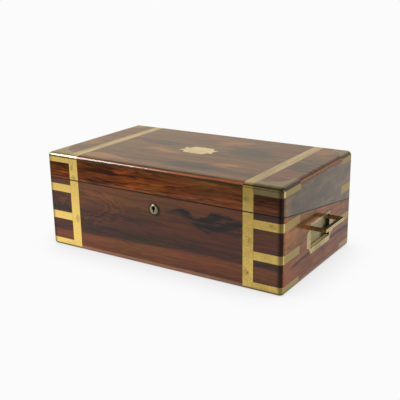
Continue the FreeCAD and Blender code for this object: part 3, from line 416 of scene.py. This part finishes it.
def swirl(g, along, across, centre, size):
    """Faint rings of a crotch figure, fading out at the rim of their patch."""
    bend = g.noise(along * 30.0, across * 40.0, 5.0, detail=3.0)
    reach_u = (along - centre[0] * MM) / (size[0] * MM)
    reach_v = (across - centre[1] * MM) / (size[1] * MM)
    far = g.math("SQRT", reach_u * reach_u + reach_v * reach_v)
    rings = g.math("SINE", far * 26.0 + bend * 22.0)
    return rings * g.between(far, 0.3, 0.85, 0.2)


# Tone up the base's front, from the foot to the rim: left of the lock and right of it
FRONT_LEFT = [(0.0, 0.58), (0.020, 0.64), (0.031, 0.64), (0.036, 0.44), (0.049, 0.41), (0.060, 0.48),
              (0.069, 0.50), (0.079, 0.42), (0.090, 0.54), (0.105, 0.63), (0.140, 0.62)]
FRONT_RIGHT = [(0.0, 0.55), (0.022, 0.62), (0.033, 0.64), (0.038, 0.43), (0.050, 0.45), (0.064, 0.54),
               (0.085, 0.56), (0.108, 0.59), (0.124, 0.63), (0.140, 0.60)]
# The pale strip along the foot climbs to the right
FOOT_CLIMB = [(-0.25, 0.0), (-0.17, 0.001), (-0.06, 0.004), (0.03, 0.0075), (0.25, 0.008)]
# Upper and lower side of the black flame right of the lock
FLAME_CREST = [(0.0, 0.110), (0.026, 0.112), (0.047, 0.119), (0.067, 0.1205), (0.083, 0.1085),
               (0.101, 0.112), (0.119, 0.1225), (0.140, 0.1235), (0.178, 0.117), (0.25, 0.105)]
FLAME_TROUGH = [(0.0, 0.110), (0.026, 0.1105), (0.049, 0.1115), (0.061, 0.108), (0.075, 0.099),
                (0.088, 0.091), (0.130, 0.089), (0.178, 0.095), (0.25, 0.100)]


def base_front_figure(g, along, across, line):
    """A red strip along the foot, a dark band over it, a swirl on the left and a flame on the right."""
    climb = g.curve(along, FOOT_CLIMB, 0.0, 0.02)
    level = across - climb + (line - across) * 0.25
    left = g.curve(level, FRONT_LEFT, 0.0, 1.0)
    right = g.curve(level, FRONT_RIGHT, 0.0, 1.0)
    tone = g.blend(g.rise(along, -90 * MM, 90 * MM), left, right)
    ruffle = (g.noise(along * 45.0, across * 110.0, 3.0, detail=4.0, rough=0.6) - 0.5) * (13 * MM)
    crest = g.curve(along, FLAME_CREST, 0.05, 0.15)
    trough = g.curve(along, FLAME_TROUGH, 0.05, 0.15)
    under_crest = g.rise(crest - across + ruffle, -1.5 * MM, 2.5 * MM)
    over_trough = g.rise(across - trough + ruffle, -9 * MM, 9 * MM)
    flame = under_crest * over_trough
    flame = flame * g.rise(along, 10 * MM, 28 * MM) * g.fall(along, 165 * MM, 215 * MM)
    flame = flame * g.rise(g.noise(along * 26.0, line * 170.0, 8.0, detail=3.0), 0.28, 0.62)
    upper_panel = g.rise(across, 60 * MM, 75 * MM) * 0.10
    lower_panel = g.between(across, 38 * MM, 56 * MM, 4 * MM) * 0.06
    left_panels = g.fall(along, -197 * MM, -195 * MM) * (upper_panel - lower_panel)
    rings = swirl(g, along, across, (-160, 92), (105, 46))
    around_lock = spot(g, along, across, (-1.5, 109.5), (16, 15))
    right_panel = g.rise(along, 192 * MM, 200 * MM) * g.rise(across, 98 * MM, 126 * MM)
    tone = tone - flame * 0.44 - left_panels + rings * 0.07
    tone = tone - around_lock * 0.30 - right_panel * 0.22
    warm = g.fall(level, 30 * MM, 36 * MM) * 0.16 + g.rise(across, 105 * MM, 128 * MM) * 0.10
    return tone, warm


def lid_front_figure(g, along, across, line):
    """Orange on the left, with black streaks under the top edge, calming to red-brown on the right."""
    left = g.fall(along, -120 * MM, 110 * MM)
    far_left = g.fall(along, -200 * MM, -192 * MM)
    streak = g.between(line, 163 * MM, 172 * MM, 4 * MM) * left
    eye = spot(g, along, across, (-128, 143), (40, 7))
    glow = spot(g, along, line, (-18, 152), (60, 13))
    right = g.between(along, 60 * MM, 175 * MM, 30 * MM)
    far_right = g.rise(along, 192 * MM, 200 * MM)
    patches = g.noise(along * 13.0, line * 45.0, 6.0, detail=3.0) - 0.5
    tone = 0.58 + patches * 0.5 - streak * 0.26 - eye * 0.20 + glow * 0.10 + right * 0.09
    tone = tone - far_left * 0.05 - far_right * 0.06
    warm = 0.18 + left * 0.45 + glow * 0.30 + far_left * 0.40 - far_right * 0.18 - right * 0.12
    return tone, warm


# Tan and dark clouds on the lid's top: middle and half size across and back, in millimetres
TOP_TAN = [((28, 86), (45, 26)), ((100, -68), (36, 24)), ((-62, -26), (50, 30)), ((214, 100), (26, 42)),
           ((-232, -42), (28, 40)), ((-138, -112), (60, 18))]
TOP_DARK = [((-98, 24), (75, 22)), ((98, 38), (55, 45)), ((48, -98), (70, 24)), ((222, 0), (22, 60))]


def top_figure(g, along, across, line):
    """Clouds of tan and of near-black around the name plate."""
    tan = 0.0
    dark = 0.0
    feathered = along + (g.noise(along * 9.0, line * 70.0, 2.0, detail=3.0) - 0.5) * (150 * MM)
    for centre, size in TOP_TAN:
        tan = g.either(spot(g, feathered, line, centre, size), tan)
    for centre, size in TOP_DARK:
        dark = g.either(spot(g, feathered, line, centre, size), dark)
    return 0.59 - dark * 0.26 + tan * 0.19, 0.05 + tan * 0.22


def base_end_figure(g, along, across, line):
    """A warm patch near the front and one long dark line low down."""
    warm = spot(g, along, across, (-116, 92), (34, 34))
    vein = g.fall(abs(line - 36 * MM), 1 * MM, 5 * MM) * g.rise(along, -130 * MM, -90 * MM)
    patches = g.noise(along * 30.0, across * 60.0, 7.0, detail=4.0, rough=0.6) - 0.5
    front = g.fall(along, -140 * MM, -70 * MM)
    return 0.63 + patches * 0.45 - vein * 0.26 + warm * 0.08 + front * 0.09, 0.15 + front * 0.20


def plain_figure(g, along, across, line):
    """Nothing but the grain, on the sides that the photograph doesn't show."""
    return 0.50, 0.10


def lid_end_figure(g, along, across, line):
    """Grey clouds that grow paler to the back, and a warm patch near the front."""
    cloud = g.noise(along * 24.0, across * 55.0, 4.0, detail=4.0, rough=0.6)
    warm = spot(g, along, across, (-132, 150), (26, 26))
    return 0.03 + cloud + g.rise(along, -110 * MM, 130 * MM) * 0.15 + warm * 0.16, warm * 0.35


def finish_rosewood():
    base_front = rosewood("rosewood_base_front", "xzy", 1.7, base_front_figure, contrast=0.52)
    lid_front = rosewood("rosewood_lid_front", "xzy", 4.1, lid_front_figure, contrast=1.1)
    top = rosewood(
        "rosewood_top", "xyz", 7.3, top_figure,
        contrast=0.9, polish=WORN_POLISH, stops=FADED_STOPS,
    )
    base_end = rosewood(
        "rosewood_base_end", "yzx", 2.9, base_end_figure,
        contrast=0.7, rough=0.14, polish=MIRROR_POLISH, stops=TAN_STOPS,
    )
    lid_end = rosewood(
        "rosewood_lid_end", "yzx", 6.1, lid_end_figure,
        contrast=0.5, polish=GREY_POLISH, stops=GREY_STOPS,
    )
    paint(["base_front_board"], base_front)
    paint(["lid_front_board"], lid_front)
    paint(["lid_top_panel"], top)
    paint(["base_right_end"], base_end)
    paint(["lid_right_end"], lid_end)
    paint(["base_left_end", "lid_left_end"], rosewood("rosewood_left_end", "yzx", 3.6, plain_figure))
    paint(["base_back_board", "lid_back_board"], rosewood("rosewood_back", "xzy", 9.4, plain_figure))


# Mahogany


def mahogany(name, axes, seed):
    """Plain red-brown mahogany of the inside, waxed rather than polished."""
    g = new_material(name)
    place = dict(zip("xyz", g.coordinates()))
    along, across, inward = (place[axis] for axis in axes)
    drift = g.noise(along * 4.0, across * 12.0, inward * 12.0 + seed, detail=2.0) - 0.5
    line = across + drift * (18 * MM)
    bands = g.noise(along * 2.0, line * 90.0, inward * 60.0 + seed, detail=4.0, rough=0.6)
    flecks = g.noise(along * 45.0, line * 1300.0, inward * 1300.0, detail=2.0)
    tone = 0.5 + (bands - 0.5) * 0.9 + (flecks - 0.5) * 0.5
    colour = g.ramp(tone, MAHOGANY_STOPS)
    colour = g.mix(g.rise(flecks, 0.60, 0.72) * 0.55, colour, MAHOGANY_FLECK)
    g.surface(
        Base_Color=colour,
        Roughness=0.40 + flecks * 0.25,
        Normal=g.bump(flecks, 0.06 * MM, 0.6),
        Coat_Weight=0.25,
        Coat_Roughness=0.18,
    )
    return g


# Metals

BRASS_BRIGHT = (0.94, 0.665, 0.178)
# A lighter copy of the brass for the lid and its caps, painted to make up for the darker reflections on the
# lid
BRASS_LID = (1.00, 0.74, 0.205)
BRASS_OLIVE = (0.475, 0.33, 0.092)
BRASS_PALE = (0.45, 0.347, 0.133)
# Brass worn by rubbing and lit by a painted highlight: the corners' glint and the sheen on the straps' tops
BRASS_RUBBED_GLINT = (0.95, 0.72, 0.28)
BRASS_END = (0.29, 0.200, 0.068)
BRASS_DULL = (0.21, 0.175, 0.088)
BRASS_BROWN = (0.085, 0.062, 0.026)
BRASS_EDGE = (0.022, 0.018, 0.011)
BRASS_BLACK = (0.014, 0.011, 0.006)
FITTING_BRIGHT = (0.74, 0.53, 0.17)
NAME_PLATE_BRIGHT = (0.76, 0.65, 0.39)
NAME_PLATE_DARK = (0.58, 0.48, 0.26)
# The bail's brass is darker than the plate's, a painted dark reflection
BAIL_BRIGHT = (0.42, 0.31, 0.095)
BAIL_DARK = (0.18, 0.13, 0.042)
BAIL_SHADED_FACE = (0.060, 0.042, 0.018)
BAIL_GRIP_HIGHLIGHT = (0.62, 0.50, 0.26)
PLATE_BRIGHT = (0.60, 0.435, 0.170)
PLATE_DARK = (0.29, 0.21, 0.080)
WELL_LIGHT = (0.36, 0.30, 0.15)
WELL_DARK = (0.24, 0.205, 0.10)
WELL_FLOOR_LIT = (0.92, 0.78, 0.38)
BOSS_LIGHT = (0.44, 0.385, 0.25)
BOSS_DARK = (0.23, 0.195, 0.115)
STEEL_BRIGHT = (0.42, 0.40, 0.37)
STEEL_BROWN = (0.14, 0.115, 0.095)


def brass_tarnish(g, x, y, z):
    """Cloudy and fine variation of old brass, each from about -0.25 to 0.25."""
    cloud = g.noise(x * 26.0, y * 26.0, z * 26.0, detail=4.0, rough=0.6) - 0.5
    mottle = g.noise(x * 300.0, y * 300.0, z * 300.0, detail=5.0, rough=0.75) - 0.5
    return cloud, mottle


def metal(g, colour, rough, mottle, lacquer=0.0, metallic=1.0):
    """The surface of a metal piece, with fine scratches."""
    x, y, z = g.coordinates()
    scratch = g.noise(x * 900.0, y * 900.0, z * 120.0, detail=2.0)
    g.surface(
        Base_Color=colour,
        Metallic=metallic,
        Roughness=rough + mottle * 0.25,
        Normal=g.bump(mottle * 0.7 + scratch * 0.3, 0.04 * MM, 0.5),
        Coat_Weight=lacquer,
        Coat_Roughness=0.06,
    )
    return g


# Brown stains on the front's brass: middle and half size across and up, in millimetres
STAINS = [((-187, 141), (8, 5)), ((-190, 160), (4, 8)), ((-245, 123), (5, 6)), ((183, 158), (7, 6)),
          ((190, 88), (6, 9)), ((184, 30), (7, 7)), ((-183, 62), (6, 10)), ((232, 118), (9, 6))]


def stains(g, x, y, z, mottle):
    """Soft ragged stains on the front's straps and bands."""
    ragged_x = x + mottle * (16 * MM)
    ragged_z = z - mottle * (12 * MM)
    stained = 0.0
    for centre, size in STAINS:
        stained = g.either(spot(g, ragged_x, ragged_z, centre, size), stained)
    front = g.fall(y, -HALF_DEPTH + 2 * MM, -HALF_DEPTH + 4 * MM)
    return stained * front * (0.36 + mottle)


def case_brass(name, bright, right_shade, top_colour, lacquer, steeper_falloff=0.0):
    """Straps, bands and caps: bright on the front's left and olive to the right in a painted falloff of
    light, dark at the corners.

    right_shade is how much painted shade dulls the right side, lacquer the coat on the top, and
    steeper_falloff how much steeper the painted falloff of light from left to right is.
    """
    g = new_material(name)
    x, y, z = g.coordinates()
    turn_x, _, turn_z = g.facing()
    cloud, mottle = brass_tarnish(g, x, y, z)
    dark_corner, rubbed_glint, foot = edge_masks(g, x)
    # Tarnish, and a painted falloff of light that dulls the brass from left to right
    dull = cloud * 1.2 + mottle * 1.7 + g.rise(x, -150 * MM, 190 * MM) * (0.75 + steeper_falloff) - steeper_falloff
    colour = g.mix(dull, bright, BRASS_OLIVE)
    # Painted shade on the right side
    colour = g.mix(g.rise(x, -60 * MM, 150 * MM) * right_shade, colour, BRASS_DULL)
    # Painted shade: the brass on the ends is duller, as the ends take less light
    colour = g.mix(g.rise(abs(turn_x), 0.90, 0.98) * 0.85, colour, BRASS_END)
    left = g.fall(x, -100 * MM, 100 * MM)
    # A painted sheen along the tops of the straps on the left, over their polish from rubbing
    polished = g.fall(abs(abs(x) - STRAP_X + 4 * MM), 1 * MM, 5 * MM) * g.rise(cloud, -0.15, 0.1) * left
    top_streaks = g.rise(g.noise(x * 120.0, y * 8.0, 3.0, detail=3.0), 0.42, 0.62)
    top_colour = g.mix(top_streaks * 0.45, top_colour, BRASS_BROWN)
    top_colour = g.mix(polished * 0.28, top_colour, BRASS_RUBBED_GLINT)
    colour = g.mix(g.rise(turn_z, 0.05, 0.35) * (0.9 + mottle), colour, top_colour)
    # A painted highlight on the upright corners, over wear from rubbing, strongest at the top of the lid's
    # caps
    rubbed_glint = rubbed_glint * g.rise(z, 10 * MM, 25 * MM) * (0.6 + g.rise(z, 160 * MM, 170 * MM) * 0.35)
    colour = g.mix(rubbed_glint, colour, BRASS_RUBBED_GLINT)
    # Specks of tarnish and darker corners, painted shade along the foot and low on the right, painted shade
    # in the gap where lid and base meet, dark joints and stains
    dirt_and_shade = g.either(g.rise(mottle, 0.14, 0.30) * 0.4, dark_corner * 0.75)
    dirt_and_shade = g.either(dirt_and_shade, foot * 0.9)
    # Painted shade low on the right
    right_foot = g.fall(z, 1 * MM, 11 * MM) * g.rise(x, 150 * MM, 240 * MM)
    dirt_and_shade = g.either(dirt_and_shade, right_foot * 0.5)
    dirt_and_shade = g.either(dirt_and_shade, seams(g, x, y, z, 0.8 * MM) * 0.3)
    dirt_and_shade = g.either(dirt_and_shade, rim_gap_shade(g, y, z) * 0.95)
    dirt_and_shade = g.either(dirt_and_shade, stains(g, x, y, z, mottle))
    colour = g.mix(dirt_and_shade, colour, BRASS_BROWN)
    smooth_edge = g.between(turn_z, 0.10, 0.88, 0.06)
    # A dark band along the brass's top edges, wider on the left: tarnish together with a painted dark
    # reflection that keeps the lamp's highlight thin
    wide_edge = g.either(left, g.rise(turn_x, 0.2, 0.5))
    dark_low = 0.42 - wide_edge * 0.22
    dark_high = 0.72 + wide_edge * 0.10
    colour = g.mix(g.between(turn_z, dark_low, dark_high, 0.06) * 0.9, colour, BRASS_EDGE)
    rough = 0.40 - smooth_edge * 0.26
    top_lacquer = g.rise(turn_z, 0.1, 0.5) * lacquer
    return metal(g, colour, rough, mottle * (1.0 - smooth_edge), top_lacquer)


def plain_brass(name, bright, dark, rough):
    """Brass that is alike all over, between two colours."""
    g = new_material(name)
    cloud, mottle = brass_tarnish(g, *g.coordinates())
    colour = g.mix(g.rise(cloud + mottle, -0.3, 0.3), bright, dark)
    return metal(g, colour, rough, mottle)


def bail_middle(name, axis):
    """The middle of the bail's thickness, on the axis that crosses it."""
    low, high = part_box(name)
    return (getattr(low, axis) + getattr(high, axis)) / 2


def bail_brass(name, outward, grip):
    """A handle's bail with painted shade on one face, a painted highlight on the grip's outer face, and a
    dark line along the grip.

    outward is the axis and the sign of the dark face, which shows when the bail is folded away. grip is
    the axis and the sign of the grip's outer face.
    """
    g = new_material(name)
    place = dict(zip("xyz", g.coordinates()))
    facing = dict(zip("xyz", g.facing()))
    cloud, mottle = brass_tarnish(g, *place.values())
    colour = g.mix(g.rise(cloud + mottle, -0.3, 0.3), BAIL_BRIGHT, BAIL_DARK)
    axis, sign = outward
    # Painted shade on one face
    colour = g.mix(g.rise(facing[axis] * sign, 0.80, 0.95) * 0.85, colour, BAIL_SHADED_FACE)
    outer = g.rise(facing[grip[0]] * grip[1], 0.80, 0.95)
    # A painted highlight on the grip's outer face
    colour = g.mix(outer * 0.8, colour, BAIL_GRIP_HIGHLIGHT)
    # A dark line along the middle of the grip's outer face
    middle_line = g.fall(abs(place[axis] - bail_middle(name, axis)), 0.4 * MM, 0.9 * MM)
    colour = g.mix(outer * middle_line * 0.9, colour, BRASS_BLACK)
    return metal(g, colour, 0.26, mottle)


# The well's middle above the plate's own, and half its height
WELL_RISE = 2.9 * MM
WELL_HALF_HEIGHT = 20.8 * MM


def handle_brass(name):
    """The handle's plate. Its well is dusty, with a floor painted as lit from above and painted shade: a
    dark line low on its back wall, the bail's shadow and a black far end.
    """
    g = new_material(name)
    x, y, z = g.coordinates()
    turn_x, turn_y, turn_z = g.facing()
    low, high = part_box(HANDLE_PLATES[0])
    well_floor = (low.z + high.z) / 2 + WELL_RISE - WELL_HALF_HEIGHT
    cloud, mottle = brass_tarnish(g, x, y, z)
    colour = g.mix(g.rise(cloud + mottle, -0.2, 0.2), PLATE_BRIGHT, PLATE_DARK)
    inside = g.fall(abs(x), HALF_WIDTH - 1.7 * MM, HALF_WIDTH - 1.2 * MM)
    dusty = g.mix(g.rise(mottle, -0.2, 0.2), WELL_LIGHT, WELL_DARK)
    colour = g.mix(inside * 0.9, colour, dusty)
    # The well's floor is painted lighter, as lit from above
    colour = g.mix(inside * g.rise(turn_z, 0.8, 0.95), colour, WELL_FLOOR_LIT)
    # Painted shade: a dark line in the crease low on the back wall, a painted shadow of the bail on the far
    # part of the back wall, and the far end wall in painted shade
    back_wall = g.rise(abs(turn_x), 0.7, 0.9)
    line = back_wall * g.fall(z - well_floor, 1.6 * MM, 2.8 * MM)
    shadow = g.rise(y + (well_floor - z) * 0.4, 11 * MM, 27 * MM)
    shadow = shadow * g.fall(z - well_floor, 14 * MM, 27 * MM) * back_wall
    far_end = g.fall(turn_y, -0.9, -0.7)
    dark = g.either(line * 0.75, g.either(shadow, far_end))
    colour = g.mix(inside * dark, colour, BRASS_BLACK)
    return metal(g, colour, 0.36 + inside * 0.14, mottle, 0.1, 1.0 - inside * 0.6)


# The keyhole boss: its middle on the front, and the keyhole's round head above that
BOSS_X = -1.5 * MM
BOSS_Z = 110.1 * MM
KEYHOLE_RISE = 2.5 * MM


def keyhole_brass(name):
    """A grey, worn boss, with painted shade around the keyhole and at its rim, where there is also grime at
    its seat.
    """
    g = new_material(name)
    x, y, z = g.coordinates()
    mottle = brass_tarnish(g, x, y, z)[1]
    colour = g.mix(g.rise(mottle, -0.2, 0.2), BOSS_LIGHT, BOSS_DARK)
    side = x - BOSS_X
    height = z - BOSS_Z
    head_height = height - KEYHOLE_RISE
    from_middle = g.math("SQRT", side * side + height * height)
    from_head = g.math("SQRT", side * side + head_height * head_height)
    # Painted shade around the keyhole, and at the rim painted shade together with grime at the seat
    rim = g.rise(from_middle, 7.4 * MM, 8.6 * MM)
    dark = g.either(rim * 0.7, g.fall(from_head, 3.2 * MM, 4.2 * MM))
    colour = g.mix(dark, colour, BRASS_BLACK)
    return metal(g, colour, 0.34, mottle)


def pin_brass(name):
    """Flush pins, browner than the brass around them and duller to the right in a painted falloff of light.
    One head at the foot of the right strap is lost; its hole is painted black as shade.
    """
    g = new_material(name)
    x, y, z = g.coordinates()
    mottle = g.noise(x * 300.0, y * 300.0, z * 300.0, detail=2.0)
    colour = g.mix(g.rise(mottle, 0.3, 0.7), BRASS_BRIGHT, BRASS_OLIVE)
    # A painted falloff of light, duller to the right
    colour = g.mix(g.rise(x, -150 * MM, 190 * MM) * 0.7, colour, BRASS_DULL)
    # Painted shade: the hole of a lost head painted black
    lost = g.rise(x, 150 * MM, 160 * MM) * g.fall(z, 40 * MM, 45 * MM) * g.fall(y, -100 * MM, -90 * MM)
    lost = lost * g.fall(x, 200 * MM, 210 * MM)
    colour = g.mix(lost, colour, BRASS_BLACK)
    g.surface(Base_Color=colour, Metallic=1.0, Roughness=0.36 + mottle * 0.1)
    return g


def steel(name):
    """Steel with brown specks of old rust."""
    g = new_material(name)
    x, y, z = g.coordinates()
    mottle = g.noise(x * 160.0, y * 160.0, z * 160.0, detail=3.0, rough=0.6)
    colour = g.mix(g.rise(mottle, 0.45, 0.7), STEEL_BRIGHT, STEEL_BROWN)
    g.surface(
        Base_Color=colour,
        Metallic=1.0,
        Roughness=0.30 + mottle * 0.25,
        Normal=g.bump(mottle, 0.03 * MM, 0.5),
    )
    return g


def finish_metals():
    base_brass = case_brass("brass_base", BRASS_BRIGHT, right_shade=0.0, top_colour=BRASS_PALE, lacquer=0.35)
    lid_brass = case_brass(
        "brass_lid", BRASS_LID, right_shade=0.0, top_colour=BRASS_PALE, lacquer=0.35, steeper_falloff=0.3,
    )
    cap_brass = case_brass(
        "brass_caps", BRASS_LID, right_shade=0.85, top_colour=BRASS_DULL, lacquer=0.2, steeper_falloff=0.3,
    )
    paint(BASE_BRASS, base_brass)
    paint(LID_BRASS, lid_brass)
    paint(["lid_corner_caps"], cap_brass)
    paint(HANDLE_PLATES, handle_brass("brass_handle_plate"))
    paint(["lid_name_plate"], plain_brass("brass_name_plate", NAME_PLATE_BRIGHT, NAME_PLATE_DARK, 0.32))
    paint(PIN_BRASS, pin_brass("brass_pins"))
    paint(FITTING_BRASS, plain_brass("brass_fittings", FITTING_BRIGHT, BRASS_OLIVE, 0.32))
    paint(["keyhole_boss"], keyhole_brass("brass_keyhole"))
    paint(["right_handle_bail"], bail_brass("right_handle_bail", ("z", 1.0), ("x", 1.0)))
    paint(["left_handle_bail"], bail_brass("left_handle_bail", ("x", -1.0), ("z", -1.0)))
    paint(STEEL, steel("steel_fittings"))


# Leather and glass

LEATHER_DARK = (0.010, 0.020, 0.015)
LEATHER_LIGHT = (0.026, 0.048, 0.034)
GILT = (0.70, 0.46, 0.13)
INK_GLASS = (0.86, 0.93, 0.90)
# The leather's edges: left and right of the middle, and along the slope from the hinge
LEATHER_EDGE = 236 * MM
LEATHER_START = 18.5 * MM
BASE_LEATHER_END = 217.0 * MM
LID_LEATHER_END = 275.2 * MM
# The gilt border's buds: their spacing and how far they stand from the leather's edge
BUD_REPEAT = 7 * MM
BUD_INSET = 15.6 * MM


def leather(name, end):
    """Dark green goatskin with a gilt tooled border. end is its far edge on the slope."""
    g = new_material(name)
    x, y, z = g.coordinates()
    up_slope = (z - HINGE_Z) * math.sin(SPLIT_TILT) - (y - HINGE_Y) * math.cos(SPLIT_TILT)
    pebble = g.noise(x * 700.0, y * 700.0, z * 700.0, detail=3.0, rough=0.6)
    cloud = g.noise(x * 18.0, y * 18.0, z * 18.0, detail=4.0, rough=0.6)
    colour = g.mix(g.rise(cloud * 0.7 + pebble * 0.3, 0.35, 0.65), LEATHER_DARK, LEATHER_LIGHT)
    side_room = LEATHER_EDGE - abs(x)
    end_room = g.both(up_slope - LEATHER_START, end - up_slope)
    room = g.both(side_room, end_room)
    outer_line = g.between(room, 11 * MM, 12.2 * MM, 0.15 * MM)
    inner_line = g.between(room, 19 * MM, 19.6 * MM, 0.15 * MM)
    lines = g.either(outer_line, inner_line)
    run = g.blend(g.rise(side_room - end_room, -0.1 * MM, 0.1 * MM), up_slope, x)
    step = g.math("PINGPONG", run, BUD_REPEAT / 2) - BUD_REPEAT / 4
    bud = g.fall(abs(step) + abs(room - BUD_INSET), 1.3 * MM, 1.7 * MM)
    worn = g.rise(cloud * 0.5 + pebble * 0.5, 0.36, 0.46)
    gilding = g.either(lines, bud) * worn
    colour = g.mix(gilding, colour, GILT)
    g.surface(
        Base_Color=colour,
        Metallic=gilding * 0.9,
        Roughness=0.50 + pebble * 0.2 - gilding * 0.2,
        Normal=g.bump(pebble - gilding * 0.6, 0.25 * MM, 0.7),
    )
    return g


def glass(name):
    """Faintly green glass with slight waves."""
    g = new_material(name)
    x, y, z = g.coordinates()
    wave = g.noise(x * 60.0, y * 60.0, z * 60.0, detail=2.0)
    g.surface(
        Base_Color=INK_GLASS,
        Roughness=0.02 + wave * 0.02,
        Transmission_Weight=1.0,
        IOR=1.5,
        Normal=g.bump(wave, 0.3 * MM, 0.4),
    )
    return g


def finish_inside():
    paint(MAHOGANY_LONG, mahogany("mahogany_long", "xyz", 3.3))
    paint(MAHOGANY_CROSS, mahogany("mahogany_cross", "yzx", 5.8))
    paint(["base_flap_leather"], leather("leather_base", BASE_LEATHER_END))
    paint(["lid_flap_leather"], leather("leather_lid", LID_LEATHER_END))
    paint(GLASS, glass("ink_glass"))


# Floor, light and camera

WHITE = (1.0, 1.0, 1.0)
WHITE_LEVEL = 0.965
# The floor's darkest shade beside the box, and how far that reaches
SHADE_LEVEL = 0.74
SHADE_REACH = 0.10
FLOOR_REACH = 6.0
TABLE_FRONT_Y = -0.50
TABLE_COLOUR = (0.60, 0.54, 0.47)
DARK_ROOM_FLOOR = (0.03, 0.03, 0.03)
BACKDROP = (1.0, 0.90, 0.79)
BACKDROP_LEVEL = 0.58
ROOM_LEVEL = 0.06
MIRRORED_ROOM = 0.55


def make_floor():
    """A table top that the camera sees as white as the background, with a shadow around the box."""
    mesh = bpy.data.meshes.new("floor")
    turns = [(-1, -1), (1, -1), (1, 1), (-1, 1)]
    corners = [(side_x * FLOOR_REACH, side_y * FLOOR_REACH, 0.0) for side_x, side_y in turns]
    mesh.from_pydata(corners, [], [(0, 1, 2, 3)])
    floor = bpy.data.objects.new("floor", mesh)
    bpy.context.scene.collection.objects.link(floor)
    g = new_material("floor")
    y = g.coordinates()[1]
    path = g.node("ShaderNodeLightPath")
    glossy = Value(g, path.outputs["Is Glossy Ray"])
    mirrored = g.either(glossy, Value(g, path.outputs["Is Transmission Ray"]))
    table = g.rise(y, TABLE_FRONT_Y - 0.03, TABLE_FRONT_Y + 0.03)
    white_share = g.either(Value(g, path.outputs["Is Camera Ray"]), mirrored * table)
    shade = g.node("ShaderNodeAmbientOcclusion")
    shade.samples = 16
    shade.inputs["Distance"].default_value = SHADE_REACH
    seen = g.node("ShaderNodeEmission")
    light_share = g.rise(g.out(shade, 1), 0.20, 0.95)
    g.put(seen.inputs["Strength"], SHADE_LEVEL + light_share * (WHITE_LEVEL - SHADE_LEVEL))
    lit = g.node("ShaderNodeBsdfDiffuse")
    g.put(lit.inputs["Color"], g.mix(table, DARK_ROOM_FLOOR, TABLE_COLOUR))
    blend = g.node("ShaderNodeMixShader")
    g.put(blend.inputs[0], white_share)
    g.tree.links.new(lit.outputs[0], blend.inputs[1])
    g.tree.links.new(seen.outputs[0], blend.inputs[2])
    g.finish(blend.outputs[0])
    mesh.materials.append(g.owner)


def make_world():
    """White for the camera, a lit backdrop behind the box and a dim room in front of it."""
    world = bpy.data.worlds.new("studio")
    bpy.context.scene.world = world
    g = Graph(world)
    _, y, z = g.split(g.node("ShaderNodeTexCoord"), "Generated")
    back = g.rise(y, -0.10, 0.35) * g.fall(z, 0.45, 0.80)
    path = g.node("ShaderNodeLightPath")
    lighting = ROOM_LEVEL + back * (BACKDROP_LEVEL - ROOM_LEVEL)
    mirrored = MIRRORED_ROOM + back * (WHITE_LEVEL - MIRRORED_ROOM)
    level = g.blend(Value(g, path.outputs["Is Glossy Ray"]), lighting, mirrored)
    seen = g.either(g.out(path, 0), Value(g, path.outputs["Is Transmission Ray"]))
    background = g.node("ShaderNodeBackground")
    g.put(background.inputs["Color"], g.mix(seen, BACKDROP, WHITE))
    g.put(background.inputs["Strength"], g.blend(seen, level, WHITE_LEVEL))
    g.finish(background.outputs[0], "ShaderNodeOutputWorld")


def make_light(name, place, target, size, watts):
    """A rectangular lamp, aimed at a place."""
    lamp = bpy.data.lights.new(name, "AREA")
    lamp.shape = "RECTANGLE"
    lamp.size, lamp.size_y = size
    lamp.energy = watts
    light = bpy.data.objects.new(name, lamp)
    light.location = place
    light.rotation_euler = (Vector(target) - Vector(place)).to_track_quat("-Z", "Y").to_euler()
    bpy.context.scene.collection.objects.link(light)


def make_lights():
    aim = (0.0, -0.05, 0.10)
    make_light("left_softbox", (-1.25, -0.80, 1.05), aim, (0.70, 0.70), 50.0)
    make_light("right_fill", (1.5, -0.2, 0.70), aim, (0.9, 0.9), 9.0)


CAMERA_PLACE = Vector((0.737222, -1.138247, 0.517418))
CAMERA_AZIMUTH = math.radians(32.8537)
CAMERA_ELEVATION = math.radians(17.5647)
CAMERA_ROLL = math.radians(0.9375)
FOCAL_PIXELS = 740.878
IMAGE_PIXELS = 400
SENSOR_MM = 36.0


def make_camera():
    """The photograph's own viewpoint, found from the edges of the box."""
    back = Vector((
        math.sin(CAMERA_AZIMUTH) * math.cos(CAMERA_ELEVATION),
        -math.cos(CAMERA_AZIMUTH) * math.cos(CAMERA_ELEVATION),
        math.sin(CAMERA_ELEVATION),
    ))
    level_right = Vector((math.cos(CAMERA_AZIMUTH), math.sin(CAMERA_AZIMUTH), 0.0))
    level_up = back.cross(level_right)
    right = level_right * math.cos(CAMERA_ROLL) - level_up * math.sin(CAMERA_ROLL)
    up = level_right * math.sin(CAMERA_ROLL) + level_up * math.cos(CAMERA_ROLL)
    turn = Matrix((right, up, back)).transposed()
    lens = bpy.data.cameras.new("camera")
    lens.sensor_width = SENSOR_MM
    lens.lens = SENSOR_MM * FOCAL_PIXELS / IMAGE_PIXELS
    lens.clip_start = 0.01
    camera = bpy.data.objects.new("camera", lens)
    camera.matrix_world = Matrix.Translation(CAMERA_PLACE) @ turn.to_4x4()
    bpy.context.scene.collection.objects.link(camera)
    bpy.context.scene.camera = camera


finish_rosewood()
finish_metals()
finish_inside()
make_floor()
make_world()
make_lights()
make_camera()
bpy.context.scene.view_settings.view_transform = "Standard"
